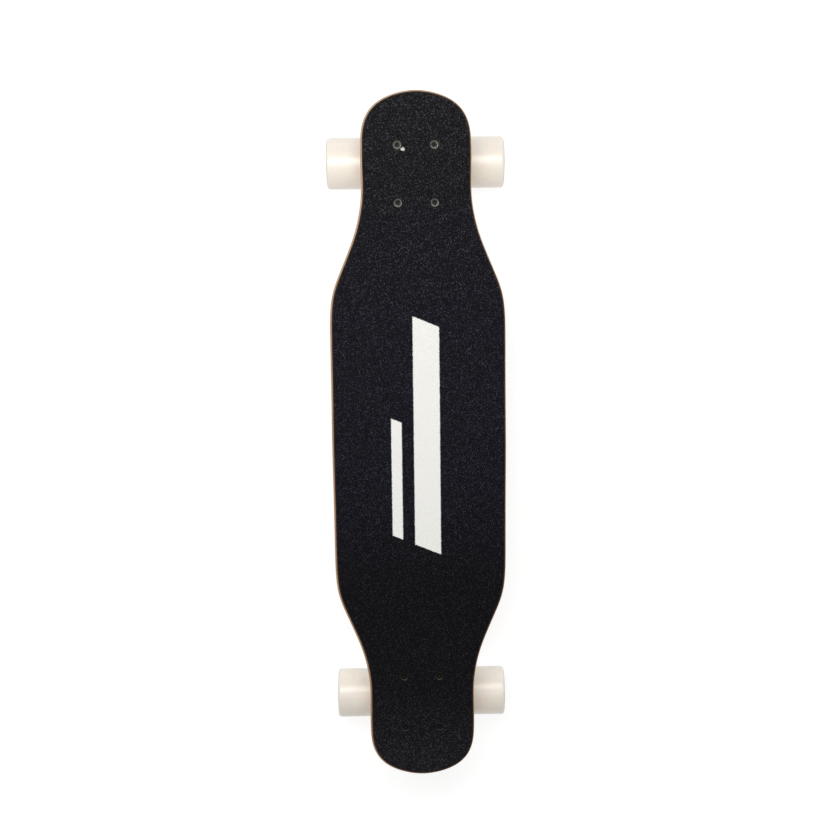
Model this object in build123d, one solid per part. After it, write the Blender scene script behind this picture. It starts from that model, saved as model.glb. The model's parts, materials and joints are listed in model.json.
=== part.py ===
from build123d import *
import math
import os

os.makedirs("parts", exist_ok=True)

# ---------------------------------------------------------------------------
# Electric skateboard. Millimetres. +X across the board, +Y to the nose, +Z up.
# Origin: on the ground, under the middle of the board.
# ---------------------------------------------------------------------------

# wheels
WHEEL_R = 29.5
WHEEL_W = 45.0
LIP_R = 3.2
HANGER_FACE = 67.0          # hanger end face, from the centre line
MOTOR_FACE = 54.2           # shorter hanger end on the motor side
WASHER_T = 0.8
BEARING_W = 7.0
SPACER_W = 10.0
WHEEL_X = HANGER_FACE + WASHER_T + BEARING_W + SPACER_W / 2
AXLE_R = 3.98
AXLE_Z = WHEEL_R

# trucks
TRUCK_H = 53.0              # axle centre to baseplate top
PATTERN_Y = 309.0           # centre of each bolt pattern
PATTERN_DX = 41.3
PATTERN_DY = 63.5
AXLE_OUT = 14.0             # axle centre outboard of the pattern centre
RISER_T = 6.0
PLATE_T = 7.0
BASE_Z = AXLE_Z + TRUCK_H
AXLE_Y = PATTERN_Y + AXLE_OUT

# deck
DECK_T = 11.8
GRIP_T = 1.0
GRIP_INSET = 1.6
GRIP_GROW = 0.25            # the grip sheet is cut by hand, a little off the middle
GRIP_SHIFT = 0.5
EDGE_R = 1.5
TOP_EDGE_R = 0.8
DECK_Z0 = BASE_Z + RISER_T
DECK_Z1 = DECK_Z0 + DECK_T
GRIP_Z1 = DECK_Z1 + GRIP_T

# kingpin, measured from its seat in the baseplate, truck frame
KP_Y = -8.0
KP_TILT = 17.7
KP_R = 4.75
RING_S = 32.0
RING_OR = 18.0
PIVOT_Y = 25.0
PIVOT_Z = -14.0
STEM_R = 5.8
CUP_GAP = 0.10

# 608 ball bearing
BRG_OR = 11.0
BRG_IR = 4.0
BRG_PITCH = 7.5
BALL_R = 1.98
GROOVE_R = 2.05
BALLS = 7

# enclosure under the deck
ENC_W = 146.0
ENC_L = 376.0
ENC_R = 22.0
ENC_WALL = 2.5
FLANGE_W = 168.0
FLANGE_L = 400.0
FLANGE_R = 25.0
FLANGE_T = 3.0
GASKET_T = 1.5
ENC_Z0 = 52.5
GASKET_Z0 = DECK_Z0 - GASKET_T
FLANGE_Z0 = GASKET_Z0 - FLANGE_T

# battery
CELL_R = 9.25
CELL_L = 65.0
CELL_PITCH = 19.4
CELL_Y0 = -8.0
CELL_Z = 66.0
CELL_ROWS = 10

# side controls
SIDE_Z = 66.0
PORT_Y = -95.0
LENS_Y = -121.0
BUTTON_Y = -147.0
WALL_X = ENC_W / 2
HINGE_Z = SIDE_Z + 12.0
HINGE_X = WALL_X + 3.4

LOW = (Align.CENTER, Align.CENTER, Align.MIN)


# ---------------------------------------------------------------------------
# helpers
# ---------------------------------------------------------------------------
def cyl_z(r, z0, z1, x=0.0, y=0.0):
    return Pos(x, y, z0) * Cylinder(r, z1 - z0, align=LOW)


def cyl_x(r, x0, x1, y=0.0, z=0.0):
    return Pos(x0, y, z) * Rot(0, 90, 0) * Cylinder(r, x1 - x0, align=LOW)


def cone_x(r0, r1, x0, x1, y=0.0, z=0.0):
    return Pos(x0, y, z) * Rot(0, 90, 0) * Cone(r0, r1, x1 - x0, align=LOW)


def ring_x(ro, ri, x0, x1, y=0.0, z=0.0):
    return cyl_x(ro, x0, x1, y, z) - cyl_x(ri, x0 - 1, x1 + 1, y, z)


def cyl_y(r, y0, y1, x=0.0, z=0.0):
    return Pos(x, y0, z) * Rot(-90, 0, 0) * Cylinder(r, y1 - y0, align=LOW)


def block(x0, x1, y0, y1, z0, z1):
    return Pos((x0 + x1) / 2, (y0 + y1) / 2, (z0 + z1) / 2) * Box(x1 - x0, y1 - y0, z1 - z0)


def rounded_slab(w, l, r, z0, z1):
    return extrude(Pos(0, 0, z0) * RectangleRounded(w, l, r), z1 - z0)


def revolve_x(points, x=0.0, y=0.0, z=0.0):
    """Turn a closed (x, r) outline about a line along X through (y, z)."""
    face = make_face(Polyline(*[(px, 0, pr) for px, pr in points], close=True))
    return Pos(x, y, z) * revolve(face, Axis((0, 0, 0), (1, 0, 0)), 360)


def hex_prism(across_flats, h):
    return extrude(RegularPolygon(across_flats / 2, 6, major_radius=False), h)


def yz_prism(points, x0, x1):
    """Extrude a (y, z) outline along X from x0 to x1."""
    face = make_face(Polyline(*[(x0, py, pz) for py, pz in points], close=True))
    return extrude(face, x1 - x0, dir=(1, 0, 0))


def xz_prism(points, y0, y1):
    """Extrude an (x, z) outline along Y from y0 to y1."""
    face = make_face(Polyline(*[(px, y0, pz) for px, pz in points], close=True))
    return extrude(face, y1 - y0, dir=(0, 1, 0))


def to_front(s):
    return Pos(0, PATTERN_Y, BASE_Z) * s


def to_rear(s):
    return Rot(0, 0, 180) * (Pos(0, PATTERN_Y, BASE_Z) * s)


def both(s):
    return [to_front(s), to_rear(s)]


def out(name, *shapes):
    solids = []
    for s in shapes:
        for one in (s if isinstance(s, (list, tuple)) else [s]):
            solids += list(one.solids())
    export_step(Compound(children=solids) if len(solids) > 1 else solids[0], f"parts/{name}.step")


# ---------------------------------------------------------------------------
# deck outline: half-widths of the grip surface, nose and tail alike
# ---------------------------------------------------------------------------
HALF = [
    (0.0, 398.5), (19.5, 396.0), (30.0, 392.6), (37.0, 389.3), (44.0, 384.6), (49.3, 379.4),
    (53.0, 374.2), (55.6, 369.0), (58.2, 361.0), (59.6, 352.0), (60.2, 340.0), (60.3, 328.0),
    (60.1, 312.0), (59.95, 300.0), (60.15, 289.0), (60.9, 279.0), (62.4, 268.5), (65.2, 255.0),
    (69.6, 240.0), (77.3, 220.0), (85.5, 200.5), (90.0, 189.5), (93.4, 179.5), (95.8, 169.0),
    (97.1, 158.5), (97.8, 147.0), (98.1, 130.0), (98.15, 100.0), (98.3, 50.0), (98.6, 0.0),
]


def outline(offset):
    right = HALF + [(x, -y) for x, y in reversed(HALF[:-1])]
    loop = right + [(-x, y) for x, y in reversed(right[1:-1])]
    n = len(loop)
    pts = []
    for i in range(n):
        ax, ay = loop[i - 1]
        bx, by = loop[i]
        cx, cy = loop[(i + 1) % n]
        d0 = math.hypot(bx - ax, by - ay)
        d1 = math.hypot(cx - bx, cy - by)
        tx = (bx - ax) / d0 * d1 + (cx - bx) / d1 * d0
        ty = (by - ay) / d0 * d1 + (cy - by) / d1 * d0
        t = math.hypot(tx, ty)
        pts.append((bx - ty / t * offset, by + tx / t * offset))
    return make_face(Spline(*pts, periodic=True))


pattern = [(sx * PATTERN_DX / 2, sy * PATTERN_DY / 2) for sx in (-1, 1) for sy in (-1, 1)]
bolt_xy = [(x, y + c) for c in (PATTERN_Y, -PATTERN_Y) for x, y in pattern]
HEAD_R = 4.75
HEAD_Z = GRIP_Z1 - 0.15
SHANK_R = 2.45
HEAD_H = HEAD_R - SHANK_R

screw_xy = [(sx * 78.5, y) for sx in (-1, 1) for y in (-178.0, -107.0, -36.0, 36.0, 107.0, 178.0)]
screw_xy += [(x, sy * 194.0) for x in (-34.0, 34.0) for sy in (-1, 1)]

deck = extrude(Pos(0, 0, DECK_Z0) * outline(GRIP_INSET), DECK_T)
deck = fillet(deck.edges().filter_by_position(Axis.Z, DECK_Z0 - 0.01, DECK_Z0 + 0.01), EDGE_R)
deck = fillet(deck.edges().filter_by_position(Axis.Z, DECK_Z1 - 0.01, DECK_Z1 + 0.01), TOP_EDGE_R)
grip = extrude(Pos(GRIP_SHIFT, 0, DECK_Z1) * outline(GRIP_GROW), GRIP_T)

# bolt holes with a countersink for the heads, through the grip and the deck
sink = Pos(0, 0, HEAD_Z - HEAD_H - 0.05) * Cone(SHANK_R, HEAD_R + 0.2, HEAD_H + 0.2, align=LOW)
sink = sink + cyl_z(HEAD_R + 0.2, HEAD_Z + 0.1, GRIP_Z1 + 1) + cyl_z(2.65, DECK_Z0 - 1, HEAD_Z - 1)
for x, y in bolt_xy:
    deck = deck - Pos(x, y, 0) * sink
    grip = grip - Pos(x, y, 0) * sink
SCREW_TOP = DECK_Z0 + 7.5
for x, y in screw_xy:
    deck = deck - cyl_z(2.0, DECK_Z0 - 1, SCREW_TOP, x, y)
out("deck", deck)
out("grip_tape", grip)

# ---------------------------------------------------------------------------
# truck mounting hardware
# ---------------------------------------------------------------------------
BOLT_END = BASE_Z - PLATE_T - 6.2
recess = Box(1.15, 4.7, 2 * 1.9) + Box(4.7, 1.15, 2 * 1.9)
bolt = cyl_z(SHANK_R, BOLT_END, HEAD_Z - HEAD_H + 0.01)
bolt = bolt + Pos(0, 0, HEAD_Z - HEAD_H) * Cone(SHANK_R, HEAD_R, HEAD_H, align=LOW)
bolt = bolt - Pos(0, 0, HEAD_Z) * recess
out("truck_bolts", [Pos(x, y, 0) * bolt for x, y in bolt_xy])

NUT_Z1 = BASE_Z - PLATE_T
locknut = Pos(0, 0, NUT_Z1 - 3.9) * hex_prism(8.0, 3.9) + cyl_z(3.55, NUT_Z1 - 5.1, NUT_Z1 - 3.8)
locknut = locknut - cyl_z(SHANK_R, NUT_Z1 - 8, NUT_Z1 + 1)
out("truck_locknuts", [Pos(x, y, 0) * locknut for x, y in bolt_xy])

# ---------------------------------------------------------------------------
# truck, in its own frame: origin at the bolt pattern centre on the baseplate
# top, y outboard, z up
# ---------------------------------------------------------------------------
ka = math.radians(KP_TILT)
KDIR = (0.0, -math.sin(ka), -math.cos(ka))
ring_c = (0.0, KP_Y + RING_S * KDIR[1], RING_S * KDIR[2])
pl = math.hypot(PIVOT_Y - ring_c[1], PIVOT_Z - ring_c[2])
UDIR = (0.0, (PIVOT_Y - ring_c[1]) / pl, (PIVOT_Z - ring_c[2]) / pl)
k_plane = Plane(origin=(0, KP_Y, 0), x_dir=(1, 0, 0), z_dir=KDIR)
u_plane = Plane(origin=ring_c, x_dir=(1, 0, 0), z_dir=UDIR)


def along_k(s):
    return k_plane.location * Pos(0, 0, s)


def along_u(t):
    return u_plane.location * Pos(0, 0, t)


def kcyl(r, s0, s1):
    return along_k(s0) * Cylinder(r, s1 - s0, align=LOW)


def ucyl(r, t0, t1):
    return along_u(t0) * Cylinder(r, t1 - t0, align=LOW)


PLATE_Y0, PLATE_Y1, PLATE_X = -41.0, 43.0, 28.0
plate_mid = (PLATE_Y0 + PLATE_Y1) / 2
plate_len = PLATE_Y1 - PLATE_Y0

riser = extrude(Pos(0, plate_mid, 0) * RectangleRounded(2 * PLATE_X, plate_len, 9), RISER_T)
for x, y in pattern:
    riser = riser - cyl_z(2.75, -1, RISER_T + 1, x, y)
out("riser_pads", both(riser))

plate = extrude(Pos(0, plate_mid, -PLATE_T) * RectangleRounded(2 * PLATE_X, plate_len, 9), PLATE_T)
plate = fillet(plate.edges().filter_by_position(Axis.Z, -PLATE_T - 0.01, -PLATE_T + 0.01), 1.6)
# side waists, between the bolt pads
for sx in (-1, 1):
    plate = plate - Pos(sx * (PLATE_X + 13), 0.5, 0) * Cylinder(18.5, 30)
below = block(-60, 60, -80, 80, -60, 0)
kp_boss = along_k(2.0) * Cone(17.0, 13.8, 11.0, align=LOW)
pv_boss = ucyl(11.6, 42.2, 57.0)
pv_web = yz_prism([(18.0, -6.5), (38.5, -6.5), (37.0, -14.0), (23.0, -17.0)], -10.0, 10.0)
baseplate = plate + (kp_boss & below) + (pv_boss & below) + (pv_web & below)
# ribs between the two bosses
for sx in (-1, 1):
    rib = yz_prism([(-4.0, -6.0), (24.0, -6.0), (22.0, -10.5), (2.0, -10.0)], sx * 9.5 - 1.6, sx * 9.5 + 1.6)
    baseplate = baseplate + rib
for x, y in pattern:
    baseplate = baseplate - cyl_z(2.75, -PLATE_T - 1, 1, x, y)
    baseplate = baseplate - cyl_z(5.6, -PLATE_T - 9, -PLATE_T, x, y)
baseplate = baseplate - kcyl(7.7, -8, 7.1) - kcyl(KP_R, 0, 14)
baseplate = baseplate - ucyl(8.5, 36.0, 54.0)
out("baseplates", both(baseplate))

# pivot cups: urethane, round outside, a round seat inside
cup = ucyl(8.5, 43.6, 54.0)
cup = cup - ucyl(STEM_R + CUP_GAP, 40.0, pl) - along_u(pl) * Sphere(STEM_R + CUP_GAP)
out("pivot_cups", both(cup))

# kingpins and their nuts
kingpin = kcyl(7.0, 2.6, 7.1) + kcyl(KP_R, 7.0, 59.0)
kingpin = kingpin - along_k(2.0) * hex_prism(6.3, 3.6)
out("kingpins", both(kingpin))
kp_nut = along_k(48.1) * hex_prism(14.3, 6.4) + kcyl(6.3, 54.4, 56.6)
kp_nut = kp_nut - kcyl(KP_R, 47, 58)
out("kingpin_nuts", both(kp_nut))

# bushing washers: cupped discs above and below the bushings
top_washer = kcyl(13.2, 13.0, 14.6) - kcyl(KP_R + 0.1, 12, 16)
low_washer = kcyl(11.4, 46.5, 48.1) - kcyl(KP_R + 0.1, 45, 50)
out("bushing_washers", both(top_washer), both(low_washer))

# bushings: a barrel above the hanger ring and a cone below it
barrel = kcyl(12.5, 14.6, 29.0)
barrel = fillet(barrel.edges().filter_by(GeomType.CIRCLE), 1.2)
cone = along_k(35.0) * Cone(12.5, 9.6, 11.5, align=LOW)
cone = fillet(cone.edges().filter_by(GeomType.CIRCLE), 1.0)
bore = kcyl(KP_R + 0.15, 10, 50)
out("front_bushings", to_front(barrel - bore), to_front(cone - bore))
out("rear_bushings", to_rear(barrel - bore), to_rear(cone - bore))


# hanger: bushing ring, pivot stem, web, gussets and the axle tube
def make_hanger(left, right):
    y, z = AXLE_OUT, -TRUCK_H
    body = cyl_x(15.0, -9, 9, y, z)
    body = body + cone_x(15.0, 10.4, 9, 46, y, z) + cone_x(10.4, 15.0, -46, -9, y, z)
    body = body + cone_x(10.4, 9.2, 46, right, y, z) + cone_x(9.2, 10.4, -left, -46, y, z)
    web = yz_prism(
        [(9.6, -14.6), (6.0, -24.0), (1.6, -31.5), (-2.6, -41.0), (0.5, -54.0),
         (14.0, -58.0), (26.0, -53.0), (23.5, -38.0), (17.4, -24.0), (13.8, -13.4)],
        -8.0, 8.0)
    body = body + web
    shoulders = yz_prism(
        [(2.2, -31.0), (-2.6, -41.0), (1.0, -52.0), (14.0, -56.0), (25.0, -50.0), (20.0, -36.0), (11.0, -29.0)],
        -17.5, 17.5)
    body = body + shoulders
    for sx in (-1, 1):
        body = body + xz_prism(
            [(sx * 8.0, -19.0), (sx * 17.5, -30.0), (sx * 44.0, -45.5), (sx * 44.0, -53.0), (sx * 8.0, -53.0)],
            8.0, 17.0)
    body = body + kcyl(RING_OR, RING_S - 5, RING_S + 5)
    stem = along_u(28.5) * Cone(7.8, STEM_R, 13.5, align=LOW) + ucyl(STEM_R, 42.0, pl)
    body = body + stem + along_u(pl) * Sphere(STEM_R)
    body = body - kcyl(13.75, RING_S - 5.5, RING_S - 3) - kcyl(13.75, RING_S + 3, RING_S + 5.5)
    body = body - kcyl(6.9, RING_S - 6, RING_S + 6)
    body = body - cyl_x(AXLE_R, -left - 1, right + 1, y, z)
    return body


front_hanger = to_front(make_hanger(HANGER_FACE, HANGER_FACE))
rear_hanger = to_rear(make_hanger(MOTOR_FACE, HANGER_FACE))
out("front_hanger", front_hanger)
out("rear_hanger", rear_hanger)

# ---------------------------------------------------------------------------
# axles and the parts fixed to them
# ---------------------------------------------------------------------------
AXLE_END = 100.6
front_axle = cyl_x(AXLE_R, -AXLE_END, AXLE_END, AXLE_Y, AXLE_Z)
front_axle = chamfer(front_axle.edges().filter_by(GeomType.CIRCLE), 0.8)
out("front_axle", front_axle)

# rear axle: on the motor side a thicker seat between the bearings holds the stator
M_IN0 = 58.8
M_IN1 = M_IN0 + BEARING_W
M_OUT0 = WHEEL_X + SPACER_W / 2
M_OUT1 = M_OUT0 + BEARING_W
rear_axle = cyl_x(AXLE_R, -AXLE_END, AXLE_END, -AXLE_Y, AXLE_Z)
rear_axle = chamfer(rear_axle.edges().filter_by(GeomType.CIRCLE), 0.8)
rear_axle = rear_axle + cyl_x(6.0, M_IN1, M_OUT0, -AXLE_Y, AXLE_Z)
out("rear_axle", rear_axle)


def axle_nut(x0, y, sx):
    """Half-inch locknut: hexagon, then the collar that grips the thread."""
    n = hex_prism(12.7, 5.2) + Pos(0, 0, 5.1) * Cylinder(5.6, 1.9, align=LOW)
    n = n - Pos(0, 0, -1) * Cylinder(AXLE_R, 12, align=LOW)
    n = Rot(0, 90, 0) * n if sx > 0 else Rot(0, -90, 0) * n
    return Pos(sx * x0, y, AXLE_Z) * n


NUT_X = M_OUT1 + WASHER_T


def washer(x0, y, sx, t=WASHER_T):
    a, b = sorted((sx * x0, sx * (x0 + t)))
    return ring_x(5.6, AXLE_R + 0.02, a, b, y, AXLE_Z)


out("front_axle_nuts", [axle_nut(NUT_X, AXLE_Y, s) for s in (-1, 1)])
out("rear_axle_nuts", [axle_nut(NUT_X, -AXLE_Y, s) for s in (-1, 1)])
out("front_speed_washers", [washer(HANGER_FACE, AXLE_Y, s) for s in (-1, 1)],
    [washer(M_OUT1, AXLE_Y, s) for s in (-1, 1)])
out("rear_speed_washers", [washer(HANGER_FACE, -AXLE_Y, -1), washer(M_OUT1, -AXLE_Y, -1),
                           washer(M_OUT1, -AXLE_Y, 1), washer(MOTOR_FACE, -AXLE_Y, 1, M_IN0 - MOTOR_FACE)])


def spacer(y, sx):
    a, b = sorted((sx * (WHEEL_X - SPACER_W / 2), sx * (WHEEL_X + SPACER_W / 2)))
    return ring_x(5.4, AXLE_R + 0.02, a, b, y, AXLE_Z)


out("front_bearing_spacers", [spacer(AXLE_Y, s) for s in (-1, 1)])
out("rear_bearing_spacer", spacer(-AXLE_Y, -1))


# ---------------------------------------------------------------------------
# 608 bearings, drawn about x = 0
# ---------------------------------------------------------------------------
groove = Rot(0, 90, 0) * Torus(BRG_PITCH, GROOVE_R)
HB = BEARING_W / 2
inner_race = ring_x(6.0, BRG_IR, -HB, HB) - groove
outer_race = ring_x(BRG_OR, 9.0, -HB, HB) - groove
outer_race = outer_race - ring_x(9.6, 8.0, -HB - 1, -2.75) - ring_x(9.6, 8.0, 2.75, HB + 1)
shields = [ring_x(9.6, 6.15, -3.25, -2.8), ring_x(9.6, 6.15, 2.8, 3.25)]
balls = []
cage = ring_x(8.1, 6.9, -2.6, 1.5)
for i in range(BALLS):
    a = 2 * math.pi * i / BALLS
    c = (0, BRG_PITCH * math.sin(a), BRG_PITCH * math.cos(a))
    balls.append(Pos(*c) * Sphere(BALL_R))
    cage = cage - Pos(*c) * Sphere(BALL_R + 0.12)


def at(shapes, x, y):
    return [Pos(x, y, AXLE_Z) * s for s in shapes]


def bearing_xs(sx):
    return [sx * (WHEEL_X - SPACER_W / 2 - HB), sx * (WHEEL_X + SPACER_W / 2 + HB)]


MOTOR_XS = [M_IN0 + HB, M_OUT0 + HB]
wheel_sets = {
    "front_left": (-1, AXLE_Y, bearing_xs(-1)),
    "front_right": (1, AXLE_Y, bearing_xs(1)),
    "rear_left": (-1, -AXLE_Y, bearing_xs(-1)),
    "motor": (1, -AXLE_Y, MOTOR_XS),
}
out("front_inner_races", [at([inner_race], x, AXLE_Y) for x in bearing_xs(-1) + bearing_xs(1)][0],
    *[at([inner_race], x, AXLE_Y) for x in (bearing_xs(-1) + bearing_xs(1))[1:]])
out("rear_inner_races", *[at([inner_race], x, -AXLE_Y) for x in bearing_xs(-1) + MOTOR_XS])
for name, (sx, y, xs) in wheel_sets.items():
    out(f"{name}_outer_races", *[at([outer_race] + shields, x, y) for x in xs])
    out(f"{name}_bearing_balls", *[at(balls + [cage], x, y) for x in xs])

# ---------------------------------------------------------------------------
# wheels
# ---------------------------------------------------------------------------
HW = WHEEL_W / 2
lip = []
for i in range(7):
    a = math.pi / 2 * i / 6
    lip.append((HW - LIP_R + LIP_R * math.sin(a), WHEEL_R - LIP_R + LIP_R * math.cos(a)))
CORE_R, CORE_HW, RIB_R = 17.0, 15.0, 19.6
tyre_half = lip + [(HW, 22.6), (HW - 0.8, 21.6), (CORE_HW, CORE_R)]
tyre_profile = tyre_half + [(4.0, CORE_R), (4.0, RIB_R), (-4.0, RIB_R), (-4.0, CORE_R)]
tyre_profile += [(-px, pr) for px, pr in reversed(tyre_half)]
tyre = revolve_x(tyre_profile)
core_profile = [
    (-CORE_HW, CORE_R), (-4.0, CORE_R), (-4.0, RIB_R), (4.0, RIB_R), (4.0, CORE_R), (CORE_HW, CORE_R),
    (CORE_HW, 12.4), (12.0, BRG_OR), (5.0, BRG_OR), (5.0, 9.3), (-5.0, 9.3), (-5.0, BRG_OR),
    (-12.0, BRG_OR), (-CORE_HW, 12.4),
]
core = revolve_x(core_profile)
for name, sx, y in (("front_left", -1, AXLE_Y), ("front_right", 1, AXLE_Y), ("rear_left", -1, -AXLE_Y)):
    out(f"{name}_tyre", Pos(sx * WHEEL_X, y, AXLE_Z) * tyre)
    out(f"{name}_core", Pos(sx * WHEEL_X, y, AXLE_Z) * core)

# ---------------------------------------------------------------------------
# hub motor in the rear right wheel: the sleeve, can, cover and magnets turn,
# the stator stays with the axle
# ---------------------------------------------------------------------------
X0 = WHEEL_X - HW
X1 = WHEEL_X + HW
CAN_R, CAN_IR = 23.6, 21.4
sleeve_profile = [(px, pr) for px, pr in lip] + [(HW, CAN_R + 0.9), (HW - 0.9, CAN_R)]
sleeve_profile += [(-px, pr) for px, pr in reversed(sleeve_profile)]
out("motor_tyre", Pos(WHEEL_X, -AXLE_Y, AXLE_Z) * revolve_x(sleeve_profile))

can = revolve_x([
    (X0 + 0.9, CAN_R), (X1 - 6.0, CAN_R), (X1 - 6.0, CAN_IR), (61.4, CAN_IR), (61.4, 14.2),
    (M_IN1, 14.2), (M_IN1, BRG_OR), (M_IN0, BRG_OR), (M_IN0, 9.7), (X0 + 0.9, 9.7)],
    0, -AXLE_Y, AXLE_Z)
out("rotor_can", can)

COVER_X0, COVER_X1 = 88.6, 91.8
cover = revolve_x([
    (COVER_X0, CAN_IR), (COVER_X1, CAN_IR), (COVER_X1 + 0.8, CAN_IR - 1.0), (COVER_X1 + 0.8, 12.2),
    (M_OUT1, BRG_OR), (M_OUT0, BRG_OR), (M_OUT0, 9.7), (M_OUT0 - 1.0, 9.7), (M_OUT0 - 1.0, 14.0),
    (COVER_X0, 14.0)],
    0, -AXLE_Y, AXLE_Z)
screw_r = 17.4
m_screws = []
for i in range(6):
    a = 2 * math.pi * (i + 0.5) / 6
    cy, cz = -AXLE_Y + screw_r * math.sin(a), AXLE_Z + screw_r * math.cos(a)
    cover = cover - cyl_x(1.25, COVER_X0 - 1, COVER_X1 + 2, cy, cz) - cyl_x(2.4, COVER_X1 - 0.6, COVER_X1 + 2, cy, cz)
    s = cyl_x(1.25, COVER_X0, COVER_X1, cy, cz) + cyl_x(2.3, COVER_X1 - 0.6, COVER_X1 + 1.1, cy, cz)
    s = s - Pos(COVER_X1 + 1.1, cy, cz) * Rot(0, 90, 0) * extrude(RegularPolygon(1.0, 6, major_radius=False), 1.0, both=True)
    m_screws.append(s)
out("motor_cover", cover)
out("motor_cover_screws", m_screws)

ST_X0, ST_X1 = 69.0, 82.2
ST_R = 18.9
stator = ring_x(10.0, 6.0, ST_X0, ST_X1)
coils = []
TEETH = 12
for i in range(TEETH):
    turn = Rot(360.0 * i / TEETH, 0, 0)
    stator = stator + turn * block(ST_X0, ST_X1, -1.7, 1.7, 9.0, 18.0)
    shoe = (ring_x(ST_R, 17.5, ST_X0, ST_X1) & block(ST_X0 - 1, ST_X1 + 1, -3.9, 3.9, 10, 25))
    stator = stator + turn * shoe
    coil = block(ST_X0 - 1.3, ST_X1 + 1.3, -3.3, 3.3, 13.2, 17.0) - block(ST_X0, ST_X1, -1.7, 1.7, 12, 19)
    coils.append(turn * coil)
out("stator_core", Pos(0, -AXLE_Y, AXLE_Z) * stator)
out("stator_windings", [Pos(0, -AXLE_Y, AXLE_Z) * c for c in coils])

POLES = 14
mag_ring = ring_x(CAN_IR, 19.5, ST_X0 - 0.6, ST_X1 + 0.6)
gaps = None
for i in range(POLES):
    g = Rot(360.0 * i / POLES, 0, 0) * block(ST_X0 - 2, ST_X1 + 2, -0.35, 0.35, 10, 25)
    gaps = g if gaps is None else gaps + g
out("rotor_magnets", Pos(0, -AXLE_Y, AXLE_Z) * (mag_ring - gaps))

# ---------------------------------------------------------------------------
# enclosure with its gasket and screws
# ---------------------------------------------------------------------------
tub = rounded_slab(ENC_W, ENC_L, ENC_R, ENC_Z0, GASKET_Z0)
tub = fillet(tub.edges().filter_by_position(Axis.Z, ENC_Z0 - 0.01, ENC_Z0 + 0.01), 7.0)
hollow = rounded_slab(ENC_W - 2 * ENC_WALL, ENC_L - 2 * ENC_WALL, ENC_R - ENC_WALL, ENC_Z0 + ENC_WALL, GASKET_Z0 + 5)
hollow = fillet(hollow.edges().filter_by_position(Axis.Z, ENC_Z0 + ENC_WALL - 0.01, ENC_Z0 + ENC_WALL + 0.01), 4.5)
flange = rounded_slab(FLANGE_W, FLANGE_L, FLANGE_R, FLANGE_Z0, GASKET_Z0)
flange = fillet(flange.edges().filter_by_position(Axis.Z, FLANGE_Z0 - 0.01, FLANGE_Z0 + 0.01), 1.2)
enclosure = tub + flange - hollow
gasket = rounded_slab(FLANGE_W - 1, FLANGE_L - 1, FLANGE_R - 0.5, GASKET_Z0, DECK_Z0) - hollow
gasket = gasket - rounded_slab(ENC_W - 2 * ENC_WALL, ENC_L - 2 * ENC_WALL, ENC_R - ENC_WALL, GASKET_Z0 - 1, DECK_Z0 + 1)
e_screws = []
for x, y in screw_xy:
    enclosure = enclosure - cyl_z(2.2, FLANGE_Z0 - 1, GASKET_Z0 + 1, x, y)
    gasket = gasket - cyl_z(2.2, GASKET_Z0 - 1, DECK_Z0 + 1, x, y)
    s = cyl_z(3.7, FLANGE_Z0 - 2.3, FLANGE_Z0) + cyl_z(2.0, FLANGE_Z0 - 0.1, SCREW_TOP)
    s = fillet(s.edges().filter_by_position(Axis.Z, FLANGE_Z0 - 2.31, FLANGE_Z0 - 2.29), 1.2)
    s = s - Pos(0, 0, FLANGE_Z0 - 2.3) * (Box(0.9, 4.0, 2.6) + Box(4.0, 0.9, 2.6))
    e_screws.append(Pos(x, y, 0) * s)

# openings in the walls for the controls and the cable gland
PORT_R, BTN_R = 6.0, 7.0
GLAND_X, GLAND_R = 36.0, 6.0
enclosure = enclosure - cyl_x(PORT_R, WALL_X - 8, WALL_X + 5, PORT_Y, SIDE_Z)
enclosure = enclosure - cyl_x(BTN_R, WALL_X - 8, WALL_X + 5, BUTTON_Y, SIDE_Z)
lens_hole = block(WALL_X - 8, WALL_X + 5, LENS_Y - 6, LENS_Y + 6, SIDE_Z - 2.2, SIDE_Z + 2.2)
enclosure = enclosure - lens_hole
enclosure = enclosure - cyl_y(GLAND_R, -ENC_L / 2 - 5, -ENC_L / 2 + 8, GLAND_X, SIDE_Z)
out("enclosure", enclosure)
out("enclosure_gasket", gasket)
out("enclosure_screws", e_screws)

# charge port: flange, barrel, socket with its pin, and two hinge lugs above
port = cyl_x(9.0, WALL_X, WALL_X + 1.6, PORT_Y, SIDE_Z) + cyl_x(PORT_R, WALL_X - 12, WALL_X + 0.1, PORT_Y, SIDE_Z)
port = port - cyl_x(2.75, WALL_X - 9, WALL_X + 3, PORT_Y, SIDE_Z)
port = port + cyl_x(1.0, WALL_X - 9.5, WALL_X + 0.6, PORT_Y, SIDE_Z)
for sy in (-1, 1):
    lug = block(WALL_X, HINGE_X, PORT_Y + sy * 6.0 - 1.3, PORT_Y + sy * 6.0 + 1.3, SIDE_Z + 3.0, HINGE_Z + 1.9)
    lug = lug + (cyl_y(1.9, PORT_Y + sy * 6.0 - 1.3, PORT_Y + sy * 6.0 + 1.3, HINGE_X, HINGE_Z))
    lug = lug - block(WALL_X + 1.6, WALL_X + 8, PORT_Y - 12, PORT_Y + 12, SIDE_Z - 5, SIDE_Z + 9.5)
    port = port + lug
port = port - cyl_y(0.8, PORT_Y - 9, PORT_Y + 9, HINGE_X, HINGE_Z)
out("charge_port", port)
out("charge_cap_pin", cyl_y(0.8, PORT_Y - 7.3, PORT_Y + 7.3, HINGE_X, HINGE_Z))

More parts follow.
